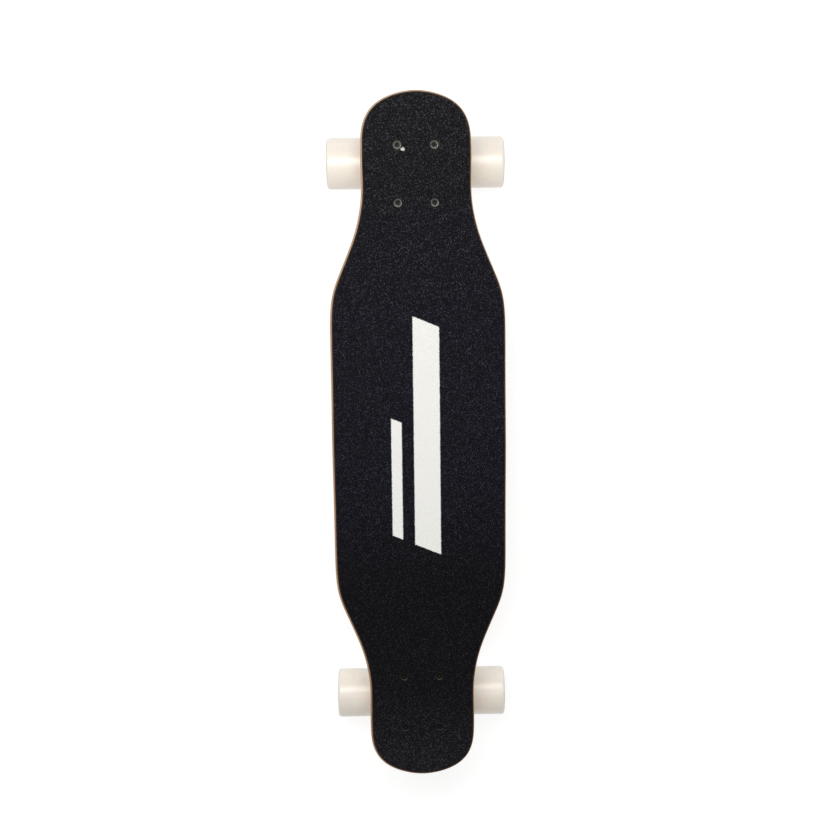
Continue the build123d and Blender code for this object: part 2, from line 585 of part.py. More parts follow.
# rubber cap: disc over the socket, strap up to a knuckle round the pin
cap = cyl_x(8.6, WALL_X + 2.0, WALL_X + 3.8, PORT_Y, SIDE_Z)
cap = cap + block(WALL_X + 2.0, WALL_X + 3.8, PORT_Y - 4.3, PORT_Y + 4.3, SIDE_Z, HINGE_Z - 0.3)
cap = cap + cyl_y(1.8, PORT_Y - 4.3, PORT_Y + 4.3, HINGE_X, HINGE_Z)
cap = cap - cyl_y(0.85, PORT_Y - 9, PORT_Y + 9, HINGE_X, HINGE_Z)
cap = cap + cyl_x(3.4, WALL_X + 3.7, WALL_X + 4.6, PORT_Y, SIDE_Z - 3.2)
out("charge_cap", cap)

# charge indicator lens
lens = block(WALL_X - 3.5, WALL_X + 0.4, LENS_Y - 6, LENS_Y + 6, SIDE_Z - 2.2, SIDE_Z + 2.2)
lens = fillet(lens.edges().group_by(Axis.X)[-1], 0.35)
out("indicator_lens", lens)

# power button: housing cup, cap that slides in it, and its spring
housing = cyl_x(9.6, WALL_X, WALL_X + 1.6, BUTTON_Y, SIDE_Z) + cyl_x(BTN_R, WALL_X - 13, WALL_X + 0.1, BUTTON_Y, SIDE_Z)
housing = housing - cyl_x(5.7, WALL_X - 11.5, WALL_X + 3, BUTTON_Y, SIDE_Z)
out("button_housing", housing)
button = cyl_x(5.65, WALL_X - 3.5, WALL_X + 3.4, BUTTON_Y, SIDE_Z)
button = fillet(button.edges().group_by(Axis.X)[-1], 0.7)
button = button - cyl_x(4.5, WALL_X - 4.5, WALL_X + 1.4, BUTTON_Y, SIDE_Z)
out("power_button", button)
SPRING_X0, SPRING_X1 = WALL_X - 11.5, WALL_X + 1.4
WIRE = 0.35
turns = 5.0
helix = Helix((SPRING_X1 - SPRING_X0 - 2 * WIRE - 0.1) / turns, SPRING_X1 - SPRING_X0 - 2 * WIRE - 0.1, 3.4)
spring = sweep(Plane(origin=helix @ 0, z_dir=helix % 0) * Circle(WIRE), helix)
out("button_spring", Pos(SPRING_X0 + WIRE + 0.05, BUTTON_Y, SIDE_Z) * Rot(0, 90, 0) * spring)

# cable gland in the rear wall for the motor lead
GY = -ENC_L / 2
gland = Pos(GLAND_X, GY - 4.0, SIDE_Z) * Rot(-90, 0, 0) * hex_prism(15.0, 4.0)
gland = gland + Pos(GLAND_X, GY - 10.0, SIDE_Z) * Rot(-90, 0, 0) * Cone(5.2, 6.8, 6.1, align=LOW)
gland = gland + cyl_y(GLAND_R, GY - 1, GY + 8.0, GLAND_X, SIDE_Z)
gland = gland + Pos(GLAND_X, GY + ENC_WALL, SIDE_Z) * Rot(-90, 0, 0) * hex_prism(15.0, 3.5)
gland = gland - cyl_y(3.6, GY - 12, GY + 10, GLAND_X, SIDE_Z)
out("motor_cable_gland", gland)

# ---------------------------------------------------------------------------
# battery, boards
# ---------------------------------------------------------------------------
cell_y = [CELL_Y0 + CELL_PITCH * i for i in range(CELL_ROWS)]
cells = []
for y in cell_y:
    for x0 in (-67.0, 2.0):
        c = cyl_x(CELL_R, x0, x0 + CELL_L - 0.9, y, CELL_Z)
        c = c + cyl_x(3.2, x0 + CELL_L - 1.0, x0 + CELL_L, y, CELL_Z)
        cells.append(c)
out("battery_cells", cells)
holders = []
for x0 in (-66.0, -8.2, 3.0, 60.8):
    h = block(x0, x0 + 4.0, CELL_Y0 - 11, cell_y[-1] + 11, ENC_Z0 + ENC_WALL, CELL_Z + 10.5)
    for y in cell_y:
        h = h - cyl_x(CELL_R + 0.15, x0 - 1, x0 + 5, y, CELL_Z)
    if abs(x0 + 2) > 40:
        # clear of the rounded corner of the case
        h = h - block(x0 - 1, x0 + 5, cell_y[-1] + 1.0, cell_y[-1] + 20, 50, 60.5)
    holders.append(h)
out("cell_holders", holders)

BMS_Z = CELL_Z + 10.5
bms = [block(-50, 50, 70, 128, BMS_Z, BMS_Z + 1.6)]
for i in range(8):
    bms.append(block(-42 + 11 * i, -36 + 11 * i, 78, 83, BMS_Z + 1.6, BMS_Z + 3.6))
bms.append(block(-12, 12, 96, 118, BMS_Z + 1.6, BMS_Z + 4.2))
bms.append(block(24, 44, 100, 112, BMS_Z + 1.6, BMS_Z + 7.4))
out("bms_board", bms)

ESC_Z = ENC_Z0 + ENC_WALL + 4.0
board = block(-40, 40, -150, -38, ESC_Z, ESC_Z + 1.6)
for x in (-36, 36):
    for y in (-146, -42):
        board = board + cyl_z(3.0, ENC_Z0 + ENC_WALL, ESC_Z + 0.1, x, y)
esc = [board]
for i in range(12):
    col, row = i % 2, i // 2
    esc.append(block(-30 + 14 * col, -20 + 14 * col, -136 + 12 * row, -130 + 12 * row, ESC_Z + 1.6, ESC_Z + 3.8))
for i in range(3):
    esc.append(cyl_x(6.2, 4, 32, -130 + 15 * i, ESC_Z + 1.6 + 6.2))
esc.append(block(6, 30, -78, -48, ESC_Z + 1.6, ESC_Z + 9.0))
out("esc_board", esc)

print("ring centre, truck frame", ring_c, "steering axis", UDIR, "pivot distance", round(pl, 3))
print("nodes", len([f for f in os.listdir("parts") if f.endswith(".step")]))
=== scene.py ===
import json
import math

import bmesh
import bpy
import numpy as np
from mathutils import Matrix, Vector


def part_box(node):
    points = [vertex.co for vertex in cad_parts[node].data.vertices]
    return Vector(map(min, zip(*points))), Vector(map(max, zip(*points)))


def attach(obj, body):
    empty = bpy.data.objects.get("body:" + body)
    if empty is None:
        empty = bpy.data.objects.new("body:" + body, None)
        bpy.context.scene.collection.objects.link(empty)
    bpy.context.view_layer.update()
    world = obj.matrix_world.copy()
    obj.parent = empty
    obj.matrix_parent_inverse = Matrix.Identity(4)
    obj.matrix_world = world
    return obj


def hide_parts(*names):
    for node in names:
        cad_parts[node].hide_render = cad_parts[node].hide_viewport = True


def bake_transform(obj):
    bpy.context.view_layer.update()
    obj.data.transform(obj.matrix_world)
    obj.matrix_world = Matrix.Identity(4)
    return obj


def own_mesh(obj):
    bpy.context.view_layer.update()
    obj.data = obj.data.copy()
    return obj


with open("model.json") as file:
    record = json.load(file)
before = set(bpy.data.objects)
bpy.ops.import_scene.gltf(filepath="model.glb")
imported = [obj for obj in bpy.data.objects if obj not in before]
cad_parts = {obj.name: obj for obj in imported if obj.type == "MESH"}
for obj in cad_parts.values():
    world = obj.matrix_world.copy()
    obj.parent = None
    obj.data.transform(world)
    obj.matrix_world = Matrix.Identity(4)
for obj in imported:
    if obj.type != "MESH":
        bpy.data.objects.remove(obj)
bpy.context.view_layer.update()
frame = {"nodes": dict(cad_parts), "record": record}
MM = 0.001
node_body = {n: b for b, ns in frame["record"]["behaviour"]["bodies"].items() for n in ns}
node_slot = {s["node"]: s["material_slot"] for s in frame["record"]["subparts"]}
scene = bpy.context.scene

# ---------------------------------------------------------------------------
# camera, world and lights
# ---------------------------------------------------------------------------
grip_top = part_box("grip_tape")[1].z
ax, ay, az = (math.radians(d) for d in (9.5057, 0.8295, 0.8098))
R = Matrix.Rotation(az, 3, "Z") @ Matrix.Rotation(ay, 3, "Y") @ Matrix.Rotation(ax, 3, "X")
t = Vector((-0.848, -30.927, -1510.327)) * MM
cam_data = bpy.data.cameras.new("camera")
cam_data.sensor_width = 36.0
cam_data.lens = 1311.77 / 840 * 36.0
cam_data.clip_end = 50
cam = bpy.data.objects.new("camera", cam_data)
scene.collection.objects.link(cam)
place = (-(R.transposed() @ t)) + Vector((0, 0, grip_top))
cam.matrix_world = Matrix.Translation(place) @ R.transposed().to_4x4()
scene.camera = cam

scene.view_settings.view_transform = "Standard"
scene.view_settings.look = "None"

world = bpy.data.worlds.new("studio")
scene.world = world
world.use_nodes = True
wt = world.node_tree
sky = wt.nodes["Background"]
where = wt.nodes.new("ShaderNodeTexCoord")
split = wt.nodes.new("ShaderNodeSeparateXYZ")
wt.links.new(where.outputs["Generated"], split.inputs[0])
grade = wt.nodes.new("ShaderNodeValToRGB")
height = wt.nodes.new("ShaderNodeMapRange")
height.inputs["From Min"].default_value = -1.0
height.inputs["From Max"].default_value = 1.0
wt.links.new(split.outputs[2], height.inputs["Value"])
el = grade.color_ramp.elements
while len(el) < 4:
    el.new(0.5)
for e, (p, v) in zip(el, ((0.48, 0.82), (0.51, 0.80), (0.58, 0.42), (0.68, 0.26))):
    e.position = p
    e.color = (v, v, v, 1)
wt.links.new(height.outputs["Result"], grade.inputs[0])
wt.links.new(grade.outputs["Color"], sky.inputs["Color"])
sky.inputs["Strength"].default_value = 1.0


def area(name, location, target, size_x, size_y, power, colour=(1, 1, 1)):
    data = bpy.data.lights.new(name, "AREA")
    data.shape = "RECTANGLE"
    data.size, data.size_y = size_x, size_y
    data.energy = power
    data.color = colour
    o = bpy.data.objects.new(name, data)
    scene.collection.objects.link(o)
    o.location = location
    o.rotation_mode = "QUATERNION"
    o.rotation_quaternion = (Vector(target) - Vector(location)).to_track_quat("-Z", "Y")
    o.visible_camera = False
    return o


area("key", (-0.12, 0.50, 1.12), (0.0, 0.05, 0.05), 0.95, 0.50, 8.7, (1.0, 0.985, 0.965))
area("overhead", (0.0, 0.25, 2.3), (0.0, 0.0, 0.0), 1.9, 1.9, 14.0)
area("fill_left", (-1.7, 0.1, 0.9), (0, 0, 0.05), 1.0, 1.4, 2.6)
area("fill_right", (1.7, 0.1, 0.9), (0, 0, 0.05), 1.0, 1.4, 2.3)


# ---------------------------------------------------------------------------
# materials
# ---------------------------------------------------------------------------
class Mat:
    def __init__(self, name, **fixed):
        self.m = bpy.data.materials.new(name)
        self.m.use_nodes = True
        self.t = self.m.node_tree
        self.b = self.t.nodes["Principled BSDF"]
        self._c = None
        for k, v in fixed.items():
            self.b.inputs[k.replace("_", " ")].default_value = v

    def node(self, kind, **props):
        n = self.t.nodes.new(kind)
        for k, v in props.items():
            setattr(n, k, v)
        return n

    def put(self, socket, value):
        if isinstance(value, bpy.types.NodeSocket):
            self.t.links.new(value, socket)
        else:
            socket.default_value = value

    def coord(self):
        if self._c is None:
            self._c = self.node("ShaderNodeTexCoord").outputs["Object"]
        return self._c

    def xyz(self, vector=None):
        n = self.node("ShaderNodeSeparateXYZ")
        self.put(n.inputs[0], vector or self.coord())
        return n.outputs[0], n.outputs[1], n.outputs[2]

    def scaled(self, s, vector=None):
        n = self.node("ShaderNodeVectorMath", operation="MULTIPLY")
        self.put(n.inputs[0], vector or self.coord())
        n.inputs[1].default_value = s
        return n.outputs[0]

    def math(self, op, a, b=0.0, c=0.0, clamp=False):
        n = self.node("ShaderNodeMath", operation=op, use_clamp=clamp)
        self.put(n.inputs[0], a)
        self.put(n.inputs[1], b)
        if len(n.inputs) > 2:
            self.put(n.inputs[2], c)
        return n.outputs[0]

    def noise(self, scale, detail=3.0, rough=0.55, vector=None, colour=False, distortion=0.0):
        n = self.node("ShaderNodeTexNoise")
        self.put(n.inputs["Vector"], vector or self.coord())
        n.inputs["Scale"].default_value = scale
        n.inputs["Detail"].default_value = detail
        n.inputs["Roughness"].default_value = rough
        n.inputs["Distortion"].default_value = distortion
        return n.outputs["Color" if colour else "Fac"]

    def voronoi(self, scale, out="Distance", vector=None, feature="F1", randomness=1.0):
        n = self.node("ShaderNodeTexVoronoi", feature=feature)
        self.put(n.inputs["Vector"], vector or self.coord())
        n.inputs["Scale"].default_value = scale
        n.inputs["Randomness"].default_value = randomness
        return n.outputs[out]

    def ramp(self, fac, stops, interpolation="LINEAR"):
        n = self.node("ShaderNodeValToRGB")
        n.color_ramp.interpolation = interpolation
        el = n.color_ramp.elements
        while len(el) < len(stops):
            el.new(0.5)
        for e, (p, c) in zip(el, stops):
            e.position = p
            e.color = (*c, 1) if len(c) == 3 else c
        self.put(n.inputs[0], fac)
        return n.outputs["Color"]

    def step(self, value, lo, hi):
        """0 below lo, 1 above hi."""
        n = self.node("ShaderNodeMapRange", interpolation_type="SMOOTHSTEP", clamp=True)
        self.put(n.inputs["Value"], value)
        n.inputs["From Min"].default_value = lo
        n.inputs["From Max"].default_value = hi
        return n.outputs["Result"]

    def remap(self, value, lo, hi, a, b):
        n = self.node("ShaderNodeMapRange", clamp=True)
        self.put(n.inputs["Value"], value)
        for k, v in (("From Min", lo), ("From Max", hi), ("To Min", a), ("To Max", b)):
            n.inputs[k].default_value = v
        return n.outputs["Result"]

    def mix(self, fac, a, b, blend="MIX"):
        n = self.node("ShaderNodeMix", data_type="RGBA", blend_type=blend)
        self.put(n.inputs[0], fac)
        for sock, v in ((n.inputs[6], a), (n.inputs[7], b)):
            if isinstance(v, tuple) and len(v) == 3:
                v = (*v, 1)
            self.put(sock, v)
        return n.outputs[2]

    def colour(self, value):
        if isinstance(value, tuple) and len(value) == 3:
            value = (*value, 1)
        self.put(self.b.inputs["Base Color"], value)

    def rough(self, value):
        self.put(self.b.inputs["Roughness"], value)

    def bump(self, height, strength=0.3, distance=0.0002, normal=None):
        n = self.node("ShaderNodeBump")
        self.put(n.inputs["Height"], height)
        n.inputs["Strength"].default_value = strength
        n.inputs["Distance"].default_value = distance
        if normal is not None:
            self.put(n.inputs["Normal"], normal)
        self.put(self.b.inputs["Normal"], n.outputs[0])
        return n.outputs[0]


MATS = {}


def grip_material():
    m = Mat("grip_abrasive", Specular_IOR_Level=0.08)
    x, y, z = m.xyz()
    big = m.noise(9, 3)
    grain = m.noise(820, 4, 0.75)
    cell = m.voronoi(1350, "Color")
    dist = m.voronoi(1350, "Distance")
    n = m.node("ShaderNodeSeparateColor")
    m.put(n.inputs[0], cell)
    pick = n.outputs[0]
    base = m.ramp(grain, [(0.34, (0.0012, 0.0012, 0.0018)), (0.52, (0.0060, 0.0060, 0.0078)), (0.68, (0.026, 0.027, 0.033))])
    base = m.mix(m.remap(big, 0.3, 0.7, 0.0, 0.30), base, (0.003, 0.003, 0.005))
    grit = m.ramp(pick, [(0.0, (0.0010, 0.0010, 0.0015)), (0.45, (0.0045, 0.0045, 0.0060)), (0.74, (0.016, 0.0165, 0.020)),
                         (0.92, (0.040, 0.041, 0.047)), (0.975, (0.115, 0.118, 0.128))])
    base = m.mix(m.remap(grain, 0.35, 0.65, 0.35, 0.80), base, grit)
    fleck = m.step(pick, 0.90, 0.96)
    # painted light and shade along the length: lighter at the ends, darkest ahead of the rear truck, bluish in the
    # middle
    along = m.remap(y, -0.40, 0.40, 0.0, 1.0)
    painted_light_along = m.ramp(along, [(0.0, (0.60, 0.58, 0.58)), (0.06, (0.44, 0.42, 0.44)), (0.13, (0.24, 0.23, 0.25)), (0.28, (0.19, 0.18, 0.20)),
                          (0.45, (0.31, 0.31, 0.43)), (0.7, (0.34, 0.33, 0.44)), (0.86, (0.36, 0.35, 0.38)), (1.0, (0.48, 0.48, 0.47))])
    base = m.mix(1.0, base, painted_light_along, "MULTIPLY")
    base = m.mix(1.0, base, (2.0, 2.0, 2.0), "MULTIPLY")
    # plain painted stripes over the grit
    edge = m.math("MULTIPLY", m.math("SUBTRACT", m.noise(900, 3, 0.75), 0.5), 0.0034)
    yy = m.math("ADD", y, m.math("MULTIPLY", x, 0.42))
    xe = m.math("ADD", x, edge)
    ye = m.math("ADD", yy, edge)

    def bar(x0, x1, y0, y1):
        s = 0.00045
        a = m.math("MULTIPLY", m.step(xe, x0 - s, x0 + s), m.step(xe, x1 + s, x1 - s))
        b = m.math("MULTIPLY", m.step(ye, y0 - s, y0 + s), m.step(ye, y1 + s, y1 - s))
        return m.math("MULTIPLY", a, b)

    paint = m.math("MAXIMUM", bar(-0.006, 0.024, -0.118, 0.148), bar(-0.032, -0.020, -0.118, 0.020))
    pits = m.step(m.noise(1500, 2, 0.6), 0.66, 0.72)
    paint = m.math("MULTIPLY", paint, m.math("SUBTRACT", 1.0, m.math("MULTIPLY", pits, 0.85)))
    white = m.ramp(grain, [(0.3, (0.70, 0.70, 0.67)), (0.7, (0.90, 0.90, 0.87))])
    top = m.mix(paint, base, white)
    # grit knocked off beside one bolt
    dx = m.math("SUBTRACT", x, -0.0147)
    dy = m.math("SUBTRACT", y, 0.3364)
    dd = m.math("SQRT", m.math("ADD", m.math("MULTIPLY", dx, dx), m.math("MULTIPLY", dy, dy)))
    dd = m.math("ADD", dd, m.math("MULTIPLY", m.math("SUBTRACT", m.noise(520, 3, 0.6), 0.5), 0.0046))
    top = m.mix(m.step(dd, 0.0025, 0.0018), top, (0.55, 0.54, 0.51))
    # painted shade: dark brown along the sheet's trimmed edge, where the sheet meets the wood
    zz = m.math("ADD", z, m.math("MULTIPLY", m.math("SUBTRACT", m.noise(700, 3, 0.7), 0.5), 0.0000030))
    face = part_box("grip_tape")[1].z
    rim = m.step(zz, face - 0.0000002, face - 0.0000045)
    m.colour(m.mix(rim, top, (0.045, 0.026, 0.017)))
    r = m.remap(fleck, 0, 1, 0.74, 0.30)
    m.rough(r)
    height = m.math("ADD", m.math("MULTIPLY", m.math("SUBTRACT", 1.0, dist), 0.5), m.math("MULTIPLY", grain, 0.8))
    m.bump(height, 0.85, 0.00035)
    return m.m


def maple_material():
    m = Mat("maple_ply", Specular_IOR_Level=0.4, Coat_Weight=0.18, Coat_Roughness=0.25)
    x, y, z = m.xyz()
    lo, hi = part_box("deck")
    ply = (hi.z - lo.z) / 7
    grain = m.noise(1.0, 5, 0.6, vector=m.scaled((260, 7, 260)), distortion=0.6)
    fine = m.noise(1.0, 3, 0.6, vector=m.scaled((1600, 40, 1600)))
    face = m.ramp(grain, [(0.25, (0.50, 0.335, 0.21)), (0.5, (0.60, 0.43, 0.285)), (0.75, (0.68, 0.51, 0.36))])
    face = m.mix(m.remap(fine, 0.35, 0.65, 0.0, 0.22), face, (0.42, 0.26, 0.15))
    layer = m.math("DIVIDE", m.math("SUBTRACT", z, lo.z), ply)
    cross = m.math("GREATER_THAN", m.math("FRACT", m.math("MULTIPLY", m.math("FLOOR", layer), 0.5)), 0.25)
    endgrain = m.noise(1.0, 4, 0.7, vector=m.scaled((900, 900, 2200)))
    dark = m.ramp(endgrain, [(0.3, (0.30, 0.17, 0.09)), (0.7, (0.47, 0.29, 0.17))])
    light = m.ramp(endgrain, [(0.3, (0.52, 0.33, 0.20)), (0.7, (0.66, 0.46, 0.30))])
    f = m.math("FRACT", layer)
    glue = m.math("MAXIMUM", m.step(f, 0.075, 0.02), m.step(f, 0.925, 0.98))
    ed = m.mix(cross, light, dark)
    ed = m.mix(m.math("MULTIPLY", glue, 0.6), ed, (0.16, 0.085, 0.045))
    g = m.node("ShaderNodeNewGeometry")
    nx = m.node("ShaderNodeSeparateXYZ")
    m.put(nx.inputs[0], g.outputs["Normal"])
    flat = m.step(m.math("ABSOLUTE", nx.outputs[2]), 0.90, 0.985)
    both = m.mix(flat, ed, face)
    # painted shade: wood facing up is multiplied darker and browner, a shadow line beside the grip's edge
    shaded_up_facing = m.mix(1.0, both, (0.63, 0.54, 0.45), "MULTIPLY")
    m.colour(m.mix(m.step(nx.outputs[2], 0.10, 0.65), both, shaded_up_facing))
    m.rough(m.remap(grain, 0.3, 0.7, 0.38, 0.52))
    m.bump(m.math("ADD", fine, m.math("MULTIPLY", endgrain, 0.6)), 0.18, 0.00015)
    return m.m


def urethane_material():
    m = Mat("cream_urethane", Subsurface_Weight=0.35, Subsurface_Scale=0.006, Coat_Weight=0.22, Coat_Roughness=0.26,
            Specular_IOR_Level=0.5, IOR=1.5)
    m.b.inputs["Subsurface Radius"].default_value = (1.0, 0.62, 0.38)
    big = m.noise(38, 3, 0.5)
    fine = m.noise(900, 3, 0.6)
    base = m.ramp(big, [(0.3, (0.83, 0.78, 0.70)), (0.7, (0.845, 0.805, 0.735))])
    base = m.mix(m.remap(fine, 0.5, 0.8, 0.0, 0.06), base, (0.66, 0.58, 0.48))
    # painted shade: grey on the outer lips, where the grazing edge falls dark
    x, y, z = m.xyz()
    lip = m.step(m.math("ABSOLUTE", x), 0.1003, 0.1021)
    m.colour(m.mix(m.math("MULTIPLY", lip, m.remap(big, 0.3, 0.7, 0.55, 0.85)), base, (0.50, 0.48, 0.46)))
    m.rough(m.remap(m.noise(160, 4, 0.6), 0.3, 0.7, 0.26, 0.36))
    m.bump(m.noise(420, 3, 0.5), 0.02, 0.0001)
    return m.m


def plain(name, colour_a, colour_b, scale, rough_a, rough_b, bump=0.1, bump_scale=600, distance=0.0001, **fixed):
    m = Mat(name, **fixed)
    m.colour(m.ramp(m.noise(scale, 4, 0.6), [(0.3, colour_a), (0.7, colour_b)]))
    m.rough(m.remap(m.noise(scale * 2.3, 3, 0.6), 0.3, 0.7, rough_a, rough_b))
    m.bump(m.noise(bump_scale, 3, 0.6), bump, distance)
    return m.m


def steel_material(name, a, b, r0, r1, stretch=(2400, 60, 2400), strength=0.12):
    m = Mat(name, Metallic=1.0)
    lines = m.noise(1.0, 3, 0.6, vector=m.scaled(stretch))
    blotch = m.noise(140, 3, 0.6)
    m.colour(m.ramp(blotch, [(0.3, a), (0.7, b)]))
    m.rough(m.remap(m.math("MULTIPLY", m.math("ADD", lines, blotch), 0.5), 0.35, 0.65, r0, r1))
    m.bump(lines, strength, 0.00005)
    return m.m


def cast_material():
    m = Mat("tumbled_cast_alloy", Metallic=1.0)
    blotch = m.noise(55, 4, 0.65)
    fine = m.noise(1300, 3, 0.6)
    pits = m.step(m.voronoi(700, "Distance"), 0.16, 0.05)
    base = m.ramp(blotch, [(0.3, (0.46, 0.47, 0.48)), (0.7, (0.60, 0.61, 0.62))])
    m.colour(m.mix(m.math("MULTIPLY", pits, 0.4), base, (0.22, 0.22, 0.22)))
    m.rough(m.remap(m.math("MULTIPLY", m.math("ADD", blotch, fine), 0.5), 0.35, 0.65, 0.34, 0.50))
    m.bump(m.math("SUBTRACT", m.math("MULTIPLY", fine, 0.7), m.math("MULTIPLY", pits, 0.5)), 0.22, 0.00015)
    return m.m


def plastic_material(name, a, b, grainy=950, strength=0.32, r0=0.5, r1=0.62):
    m = Mat(name, Specular_IOR_Level=0.45)
    m.colour(m.ramp(m.noise(30, 3, 0.5), [(0.3, a), (0.7, b)]))
    d = m.voronoi(grainy, "Distance")
    m.rough(m.remap(d, 0.1, 0.7, r1, r0))
    m.bump(m.math("ADD", d, m.math("MULTIPLY", m.noise(grainy * 1.7, 2), 0.5)), strength, 0.00012)
    return m.m


def board_material():
    m = Mat("circuit_board", Specular_IOR_Level=0.5)
    x, y, z = m.xyz()
    brick = m.node("ShaderNodeTexBrick", offset=0.5)
    m.put(brick.inputs["Vector"], m.scaled((1, 1, 1)))
    brick.inputs["Scale"].default_value = 90
    brick.inputs["Mortar Size"].default_value = 0.025
    brick.inputs["Color1"].default_value = (0.010, 0.085, 0.035, 1)
    brick.inputs["Color2"].default_value = (0.014, 0.11, 0.045, 1)
    brick.inputs["Mortar"].default_value = (0.035, 0.23, 0.09, 1)
    lo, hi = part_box("esc_board")
    blo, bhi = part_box("bms_board")
    top = m.math("MAXIMUM",
                 m.math("MULTIPLY", m.math("GREATER_THAN", z, lo.z + 0.0058), m.math("LESS_THAN", y, 0.0)),
                 m.math("MULTIPLY", m.math("GREATER_THAN", z, blo.z + 0.00175), m.math("GREATER_THAN", y, 0.0)))
    m.colour(m.mix(top, brick.outputs["Color"], (0.018, 0.018, 0.02)))
    m.rough(m.remap(m.noise(300, 3), 0.3, 0.7, 0.28, 0.42))
    m.bump(brick.outputs["Fac"], 0.2, 0.0001)
    return m.m


def cell_material():
    m = Mat("cell_wrap", Specular_IOR_Level=0.5, Coat_Weight=0.3, Coat_Roughness=0.12)
    x, y, z = m.xyz()
    u = m.math("ABSOLUTE", x)
    end = m.step(m.math("ABSOLUTE", m.math("SUBTRACT", u, 0.0345)), 0.0312, 0.0316)
    base = m.ramp(m.noise(60, 3), [(0.3, (0.018, 0.12, 0.32)), (0.7, (0.025, 0.16, 0.40))])
    m.colour(m.mix(end, base, (0.55, 0.55, 0.53)))
    m.put(m.b.inputs["Metallic"], end)
    m.rough(m.remap(m.noise(400, 3), 0.3, 0.7, 0.22, 0.36))
    m.bump(m.noise(220, 3), 0.08, 0.0001)
    return m.m


def lamination_material():
    m = Mat("stator_laminations", Metallic=1.0)
    x, y, z = m.xyz()
    w = m.node("ShaderNodeTexWave", wave_type="BANDS", bands_direction="X")
    m.put(w.inputs["Vector"], m.coord())
    w.inputs["Scale"].default_value = 560
    w.inputs["Distortion"].default_value = 0.0
    m.colour(m.ramp(w.outputs["Fac"], [(0.2, (0.10, 0.10, 0.105)), (0.7, (0.33, 0.33, 0.34))]))
    m.rough(m.remap(m.noise(500, 3), 0.3, 0.7, 0.35, 0.5))
    m.bump(w.outputs["Fac"], 0.4, 0.0001)
    return m.m


def winding_material():
    m = Mat("enamelled_copper", Metallic=0.85)
    w = m.node("ShaderNodeTexWave", wave_type="BANDS", bands_direction="DIAGONAL")
    m.put(w.inputs["Vector"], m.coord())
    w.inputs["Scale"].default_value = 900
    w.inputs["Distortion"].default_value = 0.4
    m.colour(m.ramp(w.outputs["Fac"], [(0.1, (0.20, 0.06, 0.018)), (0.8, (0.72, 0.33, 0.12))]))
    m.rough(m.remap(m.noise(500, 3), 0.3, 0.7, 0.26, 0.4))
    m.bump(w.outputs["Fac"], 0.6, 0.0002)
    return m.m


def make_materials():
    M = MATS
    M["grip"] = grip_material()
    M["maple"] = maple_material()
    M["wheel_urethane"] = urethane_material()
    M["black_rubber"] = plain("black_rubber", (0.012, 0.012, 0.012), (0.024, 0.024, 0.025), 90, 0.6, 0.75, 0.25, 900, 0.00015)
    M["cast_alloy"] = cast_material()
    M["alloy"] = steel_material("turned_alloy", (0.60, 0.60, 0.62), (0.72, 0.72, 0.74), 0.22, 0.36, (3000, 80, 80))
    M["black_steel"] = steel_material("black_oxide_steel", (0.040, 0.040, 0.037), (0.075, 0.075, 0.068), 0.28, 0.42, (900, 900, 900), 0.2)
    M["zinc_steel"] = steel_material("zinc_plated_steel", (0.50, 0.50, 0.48), (0.66, 0.66, 0.64), 0.24, 0.38, (1200, 1200, 1200), 0.15)
    M["bearing_steel"] = steel_material("bearing_steel", (0.55, 0.55, 0.56), (0.68, 0.68, 0.69), 0.10, 0.20, (2600, 120, 120), 0.05)
    M["black_urethane"] = plain("black_urethane", (0.02, 0.02, 0.02), (0.035, 0.035, 0.035), 80, 0.35, 0.5, 0.1)
    M["bushing_urethane"] = plain("bushing_urethane", (0.70, 0.65, 0.53), (0.80, 0.76, 0.66), 45, 0.30, 0.42, 0.08, 500,
                                  0.0001, Subsurface_Weight=0.3, Subsurface_Scale=0.004)
    M["core_plastic"] = plain("core_plastic", (0.74, 0.74, 0.72), (0.82, 0.82, 0.80), 40, 0.28, 0.4, 0.06, 500, 0.0001,
                              Subsurface_Weight=0.1, Subsurface_Scale=0.003)
    M["case_plastic"] = plastic_material("case_plastic", (0.012, 0.012, 0.013), (0.018, 0.018, 0.019))
    M["button_plastic"] = plastic_material("button_plastic", (0.02, 0.02, 0.02), (0.03, 0.03, 0.03), 1400, 0.1, 0.3, 0.4)
    M["lens"] = plain("frosted_lens", (0.62, 0.66, 0.68), (0.72, 0.76, 0.78), 200, 0.3, 0.45, 0.05, 800, 0.0001,
                      Subsurface_Weight=0.4, Subsurface_Scale=0.002)
    M["cell_wrap"] = cell_material()
    M["holder_plastic"] = plastic_material("holder_plastic", (0.02, 0.02, 0.02), (0.035, 0.035, 0.035), 1200, 0.15)
    M["circuit_board"] = board_material()
    M["lamination"] = lamination_material()
    M["winding"] = winding_material()
    M["magnet"] = steel_material("nickel_magnet", (0.42, 0.42, 0.42), (0.55, 0.55, 0.54), 0.2, 0.32)


make_materials()


def seal_material(name, cy, cz):
    """Bearing: black seal between the races, ground steel outside it."""
    m = Mat(name)
    x, y, z = m.xyz()
    r = m.math("SQRT", m.math("ADD", m.math("POWER", m.math("SUBTRACT", y, cy), 2.0), m.math("POWER", m.math("SUBTRACT", z, cz), 2.0)))
    steel = m.step(r, 0.00955, 0.00963)
    m.colour(m.mix(steel, (0.016, 0.016, 0.017), m.ramp(m.noise(200, 3), [(0.3, (0.52, 0.52, 0.53)), (0.7, (0.66, 0.66, 0.67))])))
    m.put(m.b.inputs["Metallic"], steel)
    m.rough(m.remap(steel, 0, 1, 0.45, 0.16))
    m.bump(m.noise(1200, 3), 0.08, 0.00005)
    return m.m


